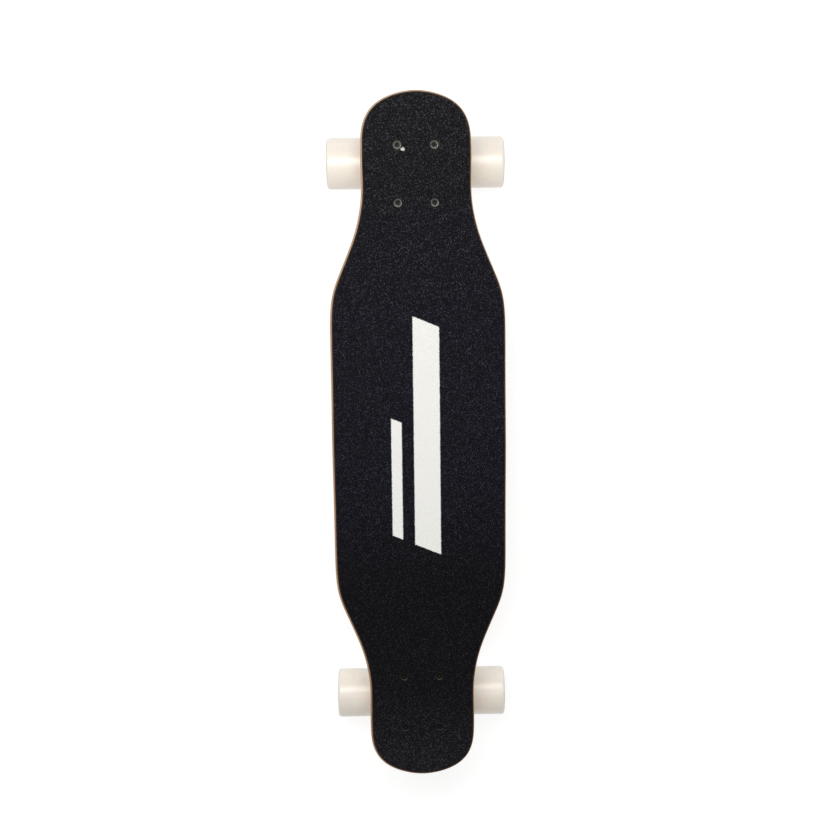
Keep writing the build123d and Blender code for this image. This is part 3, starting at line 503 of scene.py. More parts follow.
def bolt_material(top):
    """Blackened steel, with a painted highlight on the rim, painted shade in the recess and the rear bolts painted
    darker.
    """
    m = Mat("truck_bolt_steel_and_painted_light")
    x, y, z = m.xyz()
    # painted shade: the recess deeper than 0.3 mm goes near-black
    deep = m.step(z, (top - 0.30) * MM, (top - 0.75) * MM)
    bx = m.math("SUBTRACT", m.math("ABSOLUTE", x), 0.02065)
    by = m.math("SUBTRACT", m.math("ABSOLUTE", m.math("SUBTRACT", m.math("ABSOLUTE", y), 0.309)), 0.03175)
    r = m.math("SQRT", m.math("ADD", m.math("MULTIPLY", bx, bx), m.math("MULTIPLY", by, by)))
    # painted highlight: a bright ring on the head's rim
    rim = m.math("MULTIPLY", m.step(r, 0.0034, 0.0038), m.step(r, 0.00445, 0.0042))
    rim_highlight = m.math("MULTIPLY", rim, m.remap(m.noise(700, 3, 0.6), 0.35, 0.6, 0.35, 1.0))
    body = m.ramp(m.noise(420, 3, 0.6), [(0.3, (0.010, 0.010, 0.010)), (0.7, (0.030, 0.030, 0.027))])
    c = m.mix(rim_highlight, body, (0.135, 0.135, 0.12))
    # painted shade: the rear bolts multiplied darker, towards -y
    c = m.mix(1.0, c, m.remap(y, -0.1, 0.1, 0.55, 1.0), "MULTIPLY")
    # near-black painted shade in the recess
    m.colour(m.mix(deep, c, (0.006, 0.006, 0.006)))
    m.put(m.b.inputs["Metallic"], m.math("SUBTRACT", 1.0, deep))
    m.rough(m.remap(deep, 0, 1, 0.34, 0.8))
    m.bump(m.noise(1500, 3, 0.6), 0.15, 0.00005)
    return m.m


# ---------------------------------------------------------------------------
# mesh helpers
# ---------------------------------------------------------------------------
def link(mesh, name):
    o = bpy.data.objects.new(name, mesh)
    scene.collection.objects.link(o)
    return o


def shade(o, angle=32):
    me = o.data
    me.polygons.foreach_set("use_smooth", [True] * len(me.polygons))
    me.set_sharp_from_angle(angle=math.radians(angle))
    me.update()


def from_faces(name, verts, faces):
    me = bpy.data.meshes.new(name)
    me.from_pydata([tuple(v) for v in verts], [], faces)
    me.update()
    return link(me, name)


def round_profile(points, radius, steps=4):
    """Round the corners of a closed outline. radius is one value or one for each corner."""
    n = len(points)
    out = []
    for i, p in enumerate(points):
        r = radius[i] if isinstance(radius, (list, tuple)) else radius
        a, b, c = Vector(points[i - 1]), Vector(p), Vector(points[(i + 1) % n])
        u, v = (a - b), (c - b)
        if r <= 0 or u.length < 1e-9 or v.length < 1e-9:
            out.append(tuple(b))
            continue
        ang = u.angle(v)
        if ang > math.radians(176):
            out.append(tuple(b))
            continue
        d = min(r / math.tan(ang / 2), u.length * 0.45, v.length * 0.45)
        s, e = b + u.normalized() * d, b + v.normalized() * d
        for k in range(steps + 1):
            w = k / steps
            out.append(tuple(s.lerp(b, w).lerp(b.lerp(e, w), w)))
    return out


def lathe(name, profile, segs=96, closed=True):
    """Turn a closed (x, r) outline, in mm, about the X axis. Returns the object at the origin."""
    # a point this near the axis is on it, so the piece closes there
    profile = [(x, 0.0 if r <= 0.06 else r) for x, r in profile]
    n = len(profile)
    verts, faces = [], []
    for i in range(segs):
        a = 2 * math.pi * i / segs
        ca, sa = math.cos(a), math.sin(a)
        for x, r in profile:
            verts.append((x * MM, r * sa * MM, r * ca * MM))
    for i in range(segs):
        j = (i + 1) % segs
        for k in range(n if closed else n - 1):
            l = (k + 1) % n
            faces.append((i * n + k, i * n + l, j * n + l, j * n + k))
    o = from_faces(name, verts, faces)
    bm = bmesh.new()
    bm.from_mesh(o.data)
    bmesh.ops.remove_doubles(bm, verts=bm.verts, dist=1e-7)
    bmesh.ops.delete(bm, geom=[e for e in bm.edges if not e.link_faces], context="EDGES")
    bmesh.ops.recalc_face_normals(bm, faces=bm.faces)
    bm.to_mesh(o.data)
    bm.free()
    return o


def move(o, matrix):
    o.data.transform(matrix)
    o.data.update()
    return o


def apply_all(o):
    bpy.context.view_layer.update()
    dg = bpy.context.evaluated_depsgraph_get()
    me = bpy.data.meshes.new_from_object(o.evaluated_get(dg))
    o.modifiers.clear()
    old = o.data
    o.data = me
    if old.users == 0:
        bpy.data.meshes.remove(old)
    return o


def copy_node(node, name):
    src = frame["nodes"][node]
    me = src.data.copy()
    me.name = name
    o = link(me, name)
    bm = bmesh.new()
    bm.from_mesh(me)
    bmesh.ops.remove_doubles(bm, verts=bm.verts, dist=2e-6)
    bm.to_mesh(me)
    bm.free()
    return o


def flatten_shading(o):
    """Wide flat faces keep their own normal, so only the small broken edges shade round."""
    m = o.modifiers.new("normals", "WEIGHTED_NORMAL")
    m.mode = "FACE_AREA"
    m.weight = 50
    m.keep_sharp = True
    return apply_all(o)


def finish_piece(o, body, nodes=(), slot=None, material=None, flat=True):
    if flat:
        flatten_shading(o)
    o.data.materials.clear()
    o.data.materials.append(material or MATS[slot])
    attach(o, body)
    if nodes:
        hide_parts(*nodes)
    return o


def bevelled(node, name, width, segments=2, angle=30, dissolve=1.2):
    """A copy of a CAD node with its hard edges broken, standing for it."""
    o = copy_node(node, name)
    bm = bmesh.new()
    bm.from_mesh(o.data)
    bmesh.ops.dissolve_limit(bm, angle_limit=math.radians(dissolve), verts=bm.verts, edges=bm.edges)
    bm.to_mesh(o.data)
    bm.free()
    m = o.modifiers.new("edge", "BEVEL")
    m.width = width * MM
    m.segments = segments
    m.limit_method = "ANGLE"
    m.angle_limit = math.radians(angle)
    m.harden_normals = False
    apply_all(o)
    shade(o, 40)
    return finish_piece(o, node_body[node], [node], node_slot[node])


def cast_copy(node, name, voxel, smooth):
    """A copy of a CAD node as one cast piece, its joins run together."""
    o = copy_node(node, name)
    m = o.modifiers.new("skin", "REMESH")
    m.mode = "VOXEL"
    m.voxel_size = voxel * MM
    m.use_smooth_shade = True
    s = o.modifiers.new("flow", "SMOOTH")
    s.factor = 0.5
    s.iterations = smooth
    apply_all(o)
    shade(o, 60)
    return finish_piece(o, node_body[node], [node], node_slot[node], flat=False)


# ---------------------------------------------------------------------------
# CAD nodes that stay: procedural materials
# ---------------------------------------------------------------------------
for name, o in frame["nodes"].items():
    o.data.materials.clear()
    o.data.materials.append(MATS[node_slot[name]])

# ---------------------------------------------------------------------------
# more mesh helpers
# ---------------------------------------------------------------------------
def join(name, objs):
    """One object holding every given object's mesh as it stands."""
    bm = bmesh.new()
    for o in objs:
        part = o.data
        if o.matrix_world != Matrix.Identity(4):
            part.transform(o.matrix_world)
        bm.from_mesh(part)
    for o in objs:
        me = o.data
        bpy.data.objects.remove(o)
        if me.users == 0:
            bpy.data.meshes.remove(me)
    me = bpy.data.meshes.new(name)
    bm.to_mesh(me)
    bm.free()
    return link(me, name)


def many(name, o, matrices):
    """One object holding a copy of o's mesh at each matrix."""
    bm = bmesh.new()
    for m in matrices:
        me = o.data.copy()
        me.transform(m)
        if m.determinant() < 0:
            me.flip_normals()
        bm.from_mesh(me)
        bpy.data.meshes.remove(me)
    bpy.data.objects.remove(o)
    me = bpy.data.meshes.new(name)
    bm.to_mesh(me)
    bm.free()
    return link(me, name)


def aim(origin, direction, up=(1, 0, 0)):
    """Matrix that takes the X axis to a direction and the Z axis towards up. Origin in mm."""
    d = Vector(direction).normalized()
    z = Vector(up)
    z = (z - z.dot(d) * d).normalized()
    y = z.cross(d)
    m = Matrix((d, y, z)).transposed().to_4x4()
    return Matrix.Translation(Vector(origin) * MM) @ m


def cut(o, *tools, keep=False):
    for tool in tools:
        m = o.modifiers.new("cut", "BOOLEAN")
        m.operation = "DIFFERENCE"
        m.solver = "EXACT"
        m.object = tool
    apply_all(o)
    if not keep:
        for tool in tools:
            me = tool.data
            bpy.data.objects.remove(tool)
            bpy.data.meshes.remove(me)
    return o


def break_edges(o, width, segments=2, angle=30, dissolve=0.6):
    if dissolve:
        bm = bmesh.new()
        bm.from_mesh(o.data)
        bmesh.ops.remove_doubles(bm, verts=bm.verts, dist=1e-6)
        bmesh.ops.dissolve_limit(bm, angle_limit=math.radians(dissolve), verts=bm.verts, edges=bm.edges)
        bm.to_mesh(o.data)
        bm.free()
    m = o.modifiers.new("edge", "BEVEL")
    m.width = width * MM
    m.segments = segments
    m.limit_method = "ANGLE"
    m.angle_limit = math.radians(angle)
    return apply_all(o)


def solid_box(name, lo, hi):
    (x0, y0, z0), (x1, y1, z1) = lo, hi
    return frustum(name, (x0, x1, y0, y1, z0), (x0, x1, y0, y1, z1))


def frustum(name, low, high):
    """A block whose bottom and top are the rectangles (x0, x1, y0, y1, z), in mm."""
    v = []
    for x0, x1, y0, y1, z in (low, high):
        v += [(x0, y0, z), (x1, y0, z), (x1, y1, z), (x0, y1, z)]
    v = [Vector(p) * MM for p in v]
    return from_faces(name, v, [(3, 2, 1, 0), (4, 5, 6, 7), (0, 1, 5, 4), (1, 2, 6, 5), (2, 3, 7, 6), (3, 0, 4, 7)])


def surface(name, rings, cap=True):
    """Skin over equal rings of points in mm, closed at both ends."""
    n = len(rings[0])
    v = [Vector(p) * MM for ring in rings for p in ring]
    f = []
    for k in range(len(rings) - 1):
        for i in range(n):
            j = (i + 1) % n
            f.append((k * n + i, k * n + j, (k + 1) * n + j, (k + 1) * n + i))
    if cap:
        f.append(tuple(reversed(range(n))))
        f.append(tuple((len(rings) - 1) * n + i for i in range(n)))
    o = from_faces(name, v, f)
    bm = bmesh.new()
    bm.from_mesh(o.data)
    bmesh.ops.remove_doubles(bm, verts=bm.verts, dist=1e-7)
    bmesh.ops.recalc_face_normals(bm, faces=bm.faces)
    bm.to_mesh(o.data)
    bm.free()
    return o


def hex_nut(name, af, h, bore, collar_r=0.0, collar_h=0.0, ring_r=0.0, segs=72, x0=0.0):
    """Hexagon nut along X from x0, chamfered on both sides, with a rounded collar and an insert step."""
    def hexr(a):
        return (af / 2) / math.cos((a + math.pi / 6) % (math.pi / 3) - math.pi / 6)

    corner = af / 2 / math.cos(math.pi / 6)
    ch = (corner - af * 0.475)
    rings = []

    def ring(x, limit):
        rings.append([(x0 + x, min(hexr(2 * math.pi * i / segs), limit) * math.sin(2 * math.pi * i / segs),
                       min(hexr(2 * math.pi * i / segs), limit) * math.cos(2 * math.pi * i / segs)) for i in range(segs)])

    def circle(x, r):
        rings.append([(x0 + x, r * math.sin(2 * math.pi * i / segs), r * math.cos(2 * math.pi * i / segs)) for i in range(segs)])

    circle(0.3, bore)
    circle(0.0, bore + 0.3)
    circle(0.0, af * 0.475)
    steps = 7
    for k in range(1, steps + 1):
        ring(ch * 0.62 * k / steps, af * 0.475 + ch * k / steps)
    for k in range(steps, 0, -1):
        ring(h - ch * 0.62 * k / steps, af * 0.475 + ch * k / steps)
    if collar_r:
        circle(h, min(af * 0.475, collar_r + 0.35))
        circle(h + 0.12, collar_r + 0.08)
        circle(h + 0.35, collar_r)
        circle(h + collar_h - 0.45, collar_r)
        circle(h + collar_h - 0.15, collar_r - 0.14)
        circle(h + collar_h, collar_r - 0.45)
        circle(h + collar_h, bore + 0.75)
        circle(h + collar_h - 0.35, bore + 0.6)
        circle(h + collar_h - 0.35, bore)
    else:
        circle(h, af * 0.475)
        circle(h, bore + 0.3)
        circle(h - 0.3, bore)
    o = surface(name, rings + [rings[0]], cap=False)
    return o


def thread(name, r, x0, x1, pitch, depth, segs=48, chamfer=0.5):
    """A cut thread along X from x0 to x1, its crest at radius r, the free end at x1 chamfered."""
    per = 8
    n = max(3, int(abs(x1 - x0) / pitch * per))
    rings = [[(x0, 0.2 * math.sin(2 * math.pi * i / segs), 0.2 * math.cos(2 * math.pi * i / segs)) for i in range(segs)]]
    for k in range(n + 1):
        x = x0 + (x1 - x0) * k / n
        row = []
        for i in range(segs):
            a = 2 * math.pi * i / segs
            ph = (x / pitch - i / segs) % 1.0
            tri = abs(ph * 2 - 1)
            tri = min(1, max(0, (tri - 0.12) / 0.76))
            rr = r - depth * tri
            d = abs(x1 - x)
            if d < chamfer:
                rr = min(rr, r - (chamfer - d))
            row.append((x, rr * math.sin(a), rr * math.cos(a)))
        rings.append(row)
    rings.append([(x1, 0.2 * math.sin(2 * math.pi * i / segs), 0.2 * math.cos(2 * math.pi * i / segs)) for i in range(segs)])
    return surface(name, rings)


def rod(name, r, x0, x1, ch=0.0, segs=56):
    pts = [(x0, 0.05), (x0, r - ch), (x0 + ch, r), (x1 - ch, r), (x1, r - ch), (x1, 0.05)] if ch else \
        [(x0, 0.05), (x0, r), (x1, r), (x1, 0.05)]
    return lathe(name, pts, segs)


def ring_piece(name, x0, x1, ri, ro, rnd=0.15, segs=64):
    return lathe(name, round_profile([(x0, ri), (x0, ro), (x1, ro), (x1, ri)], rnd, 2), segs)


def cross_cutter(name, length, width, depth, top=0.4):
    """Two tapered blades and a cone, for a cross recess sunk from x = 0 towards -x."""
    a = frustum(name + "a", (-length * 0.22, length * 0.22, -width * 0.34, width * 0.34, -depth),
                (-length * 0.55, length * 0.55, -width * 0.54, width * 0.54, top))
    b = frustum(name + "b", (-width * 0.34, width * 0.34, -length * 0.22, length * 0.22, -depth),
                (-width * 0.54, width * 0.54, -length * 0.55, length * 0.55, top))
    c = lathe(name + "c", [(-depth - 0.25, 0.02), (-depth, width * 0.45), (top, width * 0.98), (top, 0.02)], 24)
    turn = Matrix.Rotation(math.radians(90), 4, "Y")
    move(a, turn)
    move(b, turn)
    return [a, b, c]


# ---------------------------------------------------------------------------
# sizes shared by the pieces below, in mm
# ---------------------------------------------------------------------------
WX, AY, AZ = 79.8, 323.0, 29.5
HANG, MFACE, M0, OUT0, OUT1 = 67.0, 54.2, 58.8, 84.8, 91.8
Z_BASE, Z_DECK0, Z_DECK1, Z_GRIP = 82.5, 88.5, 100.3, 101.3
WHEELS = {"front_left": (-1, AY), "front_right": (1, AY), "rear_left": (-1, -AY)}
FRONT = Matrix.Translation(Vector((0, 309, Z_BASE)) * MM)
REAR = Matrix.Rotation(math.pi, 4, "Z") @ FRONT
TILT = math.radians(17.7)
KDIR = Vector((0, -math.sin(TILT), -math.cos(TILT)))
RING = Vector((0, -8, 0)) + 32.0 * KDIR
UDIR = (Vector((0, 25, -14)) - RING).normalized()
PIVOT_T = (Vector((0, 25, -14)) - RING).length
ALONG_K = aim((0, -8, 0), KDIR)
ALONG_U = aim(RING, UDIR)
BOLTS = [(sx * 20.65, sy * 309 + s * 31.75) for sy in (1, -1) for sx in (-1, 1) for s in (-1, 1)]
SCREWS = [(sx * 78.5, y) for sx in (-1, 1) for y in (-178, -107, -36, 36, 107, 178)]
SCREWS += [(x, sy * 194) for x in (-34, 34) for sy in (-1, 1)]


def at_x(x, y, z, sx=1):
    m = Matrix.Translation(Vector((x, y, z)) * MM)
    return m @ Matrix.Rotation(math.pi, 4, "Z") if sx < 0 else m


# ---------------------------------------------------------------------------
# deck and grip tape
# ---------------------------------------------------------------------------
HALF = [
    (0.0, 398.5), (19.5, 396.0), (30.0, 392.6), (37.0, 389.3), (44.0, 384.6), (49.3, 379.4),
    (53.0, 374.2), (55.6, 369.0), (58.2, 361.0), (59.6, 352.0), (60.2, 340.0), (60.3, 328.0),
    (60.1, 312.0), (59.95, 300.0), (60.15, 289.0), (60.9, 279.0), (62.4, 268.5), (65.2, 255.0),
    (69.6, 240.0), (77.3, 220.0), (85.5, 200.5), (90.0, 189.5), (93.4, 179.5), (95.8, 169.0),
    (97.1, 158.5), (97.8, 147.0), (98.1, 130.0), (98.15, 100.0), (98.3, 50.0), (98.6, 0.0),
]


def outline(n):
    """n points round the grip's edge and their outward normals."""
    right = HALF + [(x, -y) for x, y in reversed(HALF[:-1])]
    loop = np.array(right + [(-x, y) for x, y in reversed(right[1:-1])])
    k = len(loop)
    nxt = np.roll(loop, -1, axis=0)
    h = np.linalg.norm(nxt - loop, axis=1)
    A = np.zeros((k, k))
    B = np.zeros((k, 2))
    for i in range(k):
        p, q = (i - 1) % k, (i + 1) % k
        A[i, p], A[i, i], A[i, q] = h[p], 2 * (h[p] + h[i]), h[i]
        B[i] = 6 * ((loop[q] - loop[i]) / h[i] - (loop[i] - loop[p]) / h[p])
    S = np.linalg.solve(A, B)
    ends = np.concatenate([[0], np.cumsum(h)])
    u = np.linspace(0, ends[-1], n, endpoint=False)
    i = np.clip(np.searchsorted(ends, u, side="right") - 1, 0, k - 1)
    j = (i + 1) % k
    a = (ends[i + 1] - u)[:, None]
    b = (u - ends[i])[:, None]
    hh = h[i][:, None]
    pts = (S[i] * a ** 3 + S[j] * b ** 3) / (6 * hh) + (loop[i] / hh - S[i] * hh / 6) * a + (loop[j] / hh - S[j] * hh / 6) * b
    tan = np.roll(pts, -1, axis=0) - np.roll(pts, 1, axis=0)
    tan /= np.linalg.norm(tan, axis=1)[:, None]
    normal = np.stack([-tan[:, 1], tan[:, 0]], axis=1)
    if (normal * pts).sum() < 0:
        normal = -normal
    return pts, normal


def edge_rings(n, rows, wobble=None):
    pts, nor = outline(n)
    out = []
    for k, (off, z) in enumerate(rows):
        o = off if wobble is None else off + wobble * (0.4 + 0.6 * (k % 2))
        p = pts + nor * (np.ones(n) * o)[:, None]
        out.append([(x, y, z) for x, y in p])
    return out


def build_deck():
    rows = [(-1.2, Z_DECK0)]
    for k in range(7):
        a = math.pi / 2 * k / 6
        rows.append((1.6 - 1.5 * (1 - math.sin(a)), Z_DECK0 + 1.5 * (1 - math.cos(a))))
    ply = (Z_DECK1 - Z_DECK0) / 7
    for k in range(1, 7):
        z = Z_DECK0 + ply * k
        if Z_DECK0 + 1.6 < z < Z_DECK1 - 0.9:
            rows += [(1.6, z - 0.16), (1.52, z - 0.05), (1.52, z + 0.05), (1.6, z + 0.16)]
    for k in range(6, -1, -1):
        a = math.pi / 2 * k / 6
        rows.append((1.6 - 0.8 * (1 - math.sin(a)), Z_DECK1 - 0.8 * (1 - math.cos(a))))
    rows.append((0.2, Z_DECK1))
    o = surface("deck_shell", edge_rings(720, rows))
    tool = lathe("sink", [(Z_DECK0 - 2, 0.01), (Z_DECK0 - 2, 2.65), (98.75, 2.65), (101.3, 5.1), (103, 5.1), (103, 0.01)], 40)
    tool = many("sinks", tool, [aim((x, y, 0), (0, 0, 1)) for x, y in BOLTS])
    cut(o, tool)
    shade(o, 32)
    return finish_piece(o, "board", ["deck"], "maple")


def build_grip():
    rng = np.random.default_rng(5)
    n = 1440
    w = rng.normal(0, 1, n)
    k = np.exp(-0.5 * (np.arange(-6, 7) / 2.0) ** 2)
    w = np.convolve(np.concatenate([w[-6:], w, w[:6]]), k / k.sum(), "valid")
    wob = -np.abs(w) * 0.22
    rows = [(0.20, Z_DECK1), (0.25, Z_DECK1 + 0.3), (0.23, Z_GRIP - 0.32), (0.03, Z_GRIP - 0.1), (-0.3, Z_GRIP - 0.004), (-1.5, Z_GRIP)]
    o = move(surface("grip_sheet", edge_rings(n, rows, wob)), Matrix.Translation((0.5 * MM, 0, 0)))
    tool = lathe("hole", [(Z_DECK1 - 2, 0.01), (Z_DECK1 - 2, 4.82), (103, 4.82), (103, 0.01)], 48)
    tool = many("holes", tool, [aim((x, y, 0), (0, 0, 1)) for x, y in BOLTS])
    cut(o, tool)
    shade(o, 25)
    return finish_piece(o, "board", ["grip_tape"], "grip")


# ---------------------------------------------------------------------------
# screws and nuts
# ---------------------------------------------------------------------------
def build_bolts():
    top = Z_GRIP - 0.15
    prof = [(top - 30, 0.02), (top - 30, 2.45), (top - 2.6, 2.45), (top - 2.3, 2.5), (top - 0.52, 4.42), (top - 0.3, 4.66),
            (top - 0.17, 4.70), (top - 0.05, 4.62), (top, 4.40), (top - 0.02, 4.15), (top - 0.16, 3.90), (top - 0.20, 3.4), (top - 0.20, 0.02)]
    o = lathe("bolt", prof, 64)
    cutters = [move(c, Matrix.Translation((top * MM, 0, 0))) for c in cross_cutter("ph", 5.3, 1.45, 1.95)]
    cut(o, *cutters)
    break_edges(o, 0.09, 2, 35, 0)
    t = thread("bolt_thread", 2.45, top - 29, 69.3, 0.79, 0.32, 40, 0.5)
    o = join("bolt_all", [o, t])
    o = many("truck_bolt_set", o, [aim((x, y, 0), (0, 0, 1), up=(math.cos(a), math.sin(a), 0))
                                   for (x, y), a in zip(BOLTS, (0.5, 0.9, 0.2, 1.25, 0.7, 0.1, 1.0, 0.4))])
    shade(o, 40)
    finish_piece(o, "board", ["truck_bolts"], "black_steel", bolt_material(top))
    nut = hex_nut("locknut", 8.0, 3.9, 2.45, 3.55, 1.2)
    nut = many("truck_locknut_set", nut, [aim((x, y, 75.5), (0, 0, -1)) for x, y in BOLTS])
    shade(nut, 30)
    finish_piece(nut, "board", ["truck_locknuts"], "zinc_steel")


def build_case_screws():
    prof = [(-10, 0.02), (-10, 2.0), (0, 2.0), (0, 3.7), (0.9, 3.7), (1.5, 3.45), (2.05, 2.75), (2.3, 1.9), (2.3, 0.02)]
    o = lathe("case_screw", prof, 40)
    cutters = [move(c, Matrix.Translation((2.3 * MM, 0, 0))) for c in cross_cutter("cs", 3.6, 0.9, 1.25)]
    cut(o, *cutters)
    o = many("enclosure_screw_set", o, [aim((x, y, 84.0), (0, 0, -1), up=(math.cos(i * 1.7), math.sin(i * 1.7), 0))
                                        for i, (x, y) in enumerate(SCREWS)])
    shade(o, 40)
    finish_piece(o, "board", ["enclosure_screws"], "black_steel")


# ---------------------------------------------------------------------------
# trucks
# ---------------------------------------------------------------------------
def on_both(name, o, local):
    return many(name, o, [FRONT @ local, REAR @ local])


def build_trucks():
    # kingpins with a thread where the nut runs, and their nuts
    head = lathe("kp_head", round_profile([(2.6, 0.05), (2.6, 7.0), (7.1, 7.0), (7.1, 4.75), (40, 4.75), (40, 0.05)],
                                          [0, 0.4, 0.3, 0.4, 0, 0], 3), 56)
    hexa = lathe("kp_hex", [(2.0, 0.02), (2.0, 3.637), (5.6, 3.637), (5.6, 0.02)], 6)
    cut(head, hexa)
    t = thread("kp_thread", 4.75, 39, 59.0, 1.27, 0.55, 48, 0.8)
    o = on_both("kingpin_pair", join("kp", [head, t]), ALONG_K)
    shade(o, 32)
    finish_piece(o, "board", ["kingpins"], node_slot["kingpins"])
    nut = hex_nut("kp_nut", 14.3, 6.4, 4.75, 6.3, 2.1, x0=48.1)
    o = on_both("kingpin_nut_pair", nut, ALONG_K)
    shade(o, 30)
    finish_piece(o, "board", ["kingpin_nuts"], node_slot["kingpin_nuts"])

    # cupped washers: the rim turns over the end of its bushing
    top = lathe("top_washer", round_profile([(13.0, 4.9), (13.0, 11.8), (13.6, 13.0), (15.9, 13.1), (15.9, 12.7), (14.6, 11.9),
                                             (14.6, 4.9)], [0.1, 0.9, 0.6, 0.15, 0.15, 0.5, 0.1], 3), 64)
    low = lathe("low_washer", round_profile([(48.1, 4.9), (48.1, 9.4), (47.6, 10.9), (45.9, 11.3), (45.9, 10.9), (46.5, 9.9),
                                             (46.5, 4.9)], [0.1, 0.9, 0.6, 0.15, 0.15, 0.5, 0.1], 3), 64)
    o = on_both("bushing_washer_set", join("bw", [top, low]), ALONG_K)
    shade(o, 35)
    finish_piece(o, "board", ["bushing_washers"], node_slot["bushing_washers"])

    # bushings: a barrel and a cone turned on each kingpin
    for side, place in (("front", FRONT), ("rear", REAR)):
        def end(s):
            return place @ ALONG_K @ Vector((s * MM, 0, 0))

        prof = [(14.6, 4.9), (14.6, 11.5), (14.8, 12.0), (15.4, 12.35), (16.2, 12.45)]
        prof += [(s, 12.5 - 0.25 * math.sin(math.pi * (s - 16.2) / 11.2)) for s in np.linspace(17.5, 26.0, 10)]
        prof += [(27.4, 12.45), (28.2, 12.35), (28.8, 12.0), (29.0, 11.5), (29.0, 4.9)]
        prof += [(s, 4.9) for s in np.linspace(27, 16.5, 9)]
        o = move(lathe(side + "_barrel_bushing", prof, 72), place @ ALONG_K)
        shade(o, 40)
        o.data.materials.append(MATS["bushing_urethane"])
        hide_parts(side + "_bushings")
        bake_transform(o)

        prof = [(35.0, 4.9), (35.0, 11.7), (35.2, 12.1), (35.8, 12.25)]
        prof += [(s, 12.5 - 2.9 * (s - 35) / 11.5) for s in np.linspace(37.0, 45.0, 10)]
        prof += [(46.0, 9.55), (46.4, 9.2), (46.5, 8.7), (46.5, 4.9)]
        prof += [(s, 4.9) for s in np.linspace(45, 36.5, 8)]
        o = move(lathe(side + "_cone_bushing", prof, 72), place @ ALONG_K)
        shade(o, 40)
        o.data.materials.append(MATS["bushing_urethane"])
        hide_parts(side + "_bushings")
        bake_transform(o)

    # pivot cups
    r = 5.9
    prof = [(43.6, r + 0.25), (43.45, r + 0.9), (43.5, 8.0), (43.9, 8.45), (54.0, 8.45), (54.0, 2.2)]
    prof += [(PIVOT_T + r * math.cos(a), r * math.sin(a)) for a in np.linspace(0.38, math.pi / 2, 9)]
    o = on_both("pivot_cup_pair", lathe("cup", prof, 56), ALONG_U)
    shade(o, 35)
    finish_piece(o, "board", ["pivot_cups"], node_slot["pivot_cups"])

    cast_copy("front_hanger", "front_hanger_casting", 0.85, 5)
    cast_copy("rear_hanger", "rear_hanger_casting", 0.85, 5)
    cast_copy("baseplates", "baseplate_castings", 0.75, 3)
    bevelled("riser_pads", "riser_pad_pair", 0.45, 2)

    # axles, nuts, washers, spacers
    def ends(name, y):
        a = thread(name + "r", 3.98, 88.0, 100.6, 1.06, 0.42, 48, 0.8)
        b = move(thread(name + "l", 3.98, 88.0, 100.6, 1.06, 0.42, 48, 0.8), Matrix.Rotation(math.pi, 4, "Z"))
        o = join(name + "ends", [a, b])
        return move(o, at_x(0, y, AZ))

    bar = move(rod("bar", 3.98, -89.0, 89.0), at_x(0, AY, AZ))
    o = join("front_axle_bar", [bar, ends("fa", AY)])
    shade(o, 32)
    finish_piece(o, "front_truck", ["front_axle"], node_slot["front_axle"])
    bar = move(rod("bar", 3.98, -89.0, 89.0), at_x(0, -AY, AZ))
    seat = move(rod("seat", 6.0, 65.8, 84.8, 0.3), at_x(0, -AY, AZ))
    o = join("rear_axle_bar", [bar, seat, ends("ra", -AY)])
    shade(o, 32)
    finish_piece(o, "rear_truck", ["rear_axle"], node_slot["rear_axle"])
    for side, y in (("front", AY), ("rear", -AY)):
        n = hex_nut("axle_nut", 12.7, 5.2, 3.98, 5.6, 1.8)
        o = many(side + "_axle_nut_pair", n, [at_x(92.6, y, AZ), at_x(-92.6, y, AZ, -1)])
        shade(o, 30)
        finish_piece(o, side + "_truck", [side + "_axle_nuts"], node_slot[side + "_axle_nuts"])
        ws = [ring_piece("w", sx * OUT1 if sx > 0 else -OUT1 - 0.8, OUT1 + 0.8 if sx > 0 else -OUT1, 4.02, 5.6, 0.12, 56)
              for sx in (-1, 1)]
        ws.append(ring_piece("w", -HANG - 0.8, -HANG, 4.02, 5.6, 0.12, 56))
        ws.append(ring_piece("w", HANG, HANG + 0.8, 4.02, 5.6, 0.12, 56) if side == "front"
                  else ring_piece("w", MFACE, M0, 4.02, 5.6, 0.25, 56))
        o = move(join(side + "_washer_set", ws), at_x(0, y, AZ))
        shade(o, 32)
        finish_piece(o, side + "_truck", [side + "_speed_washers"], node_slot[side + "_speed_washers"])
        sp = [ring_piece("s", sx * WX - 5, sx * WX + 5, 4.02, 5.4, 0.3, 48) for sx in ((-1, 1) if side == "front" else (-1,))]
        node = "front_bearing_spacers" if side == "front" else "rear_bearing_spacer"
        o = move(join(side + "_spacer_set", sp), at_x(0, y, AZ))
        shade(o, 32)
        finish_piece(o, side + "_truck", [node], node_slot[node])


# ---------------------------------------------------------------------------
# bearings and wheels
# ---------------------------------------------------------------------------
def inner_race(x):
    g = [(2.05 * math.cos(a), 7.5 - 2.05 * math.sin(a)) for a in np.linspace(math.pi - 0.83, 0.83, 9)]
    prof = [(-3.5, 4.02), (-3.5, 5.75), (-3.25, 6.0)] + g + [(3.25, 6.0), (3.5, 5.75), (3.5, 4.02)]
    return move(lathe("inner", prof, 64), at_x(x, 0, 0))


def outer_race(x):
    g = [(2.05 * math.cos(a), 7.5 + 2.05 * math.sin(a)) for a in np.linspace(0.83, math.pi - 0.83, 9)]
    prof = [(-3.5, 10.75), (-3.25, 11.0), (3.25, 11.0), (3.5, 10.75), (3.5, 9.75), (3.35, 9.6), (2.75, 9.6), (2.75, 9.02)]
    prof += g + [(-2.75, 9.02), (-2.75, 9.6), (-3.35, 9.6), (-3.5, 9.75)]
    o = lathe("outer", prof, 80)
    shields = []
    for s in (-1, 1):
        p = [(2.8, 6.2), (2.8, 9.55), (3.25, 9.55), (3.28, 9.3), (3.1, 9.0), (3.1, 7.2), (3.25, 6.9), (3.25, 6.3), (3.15, 6.2)]
        shields.append(lathe("shield", [(s * a, b) for a, b in p], 80))
    return move(join("outer_all", [o] + shields), at_x(x, 0, 0))


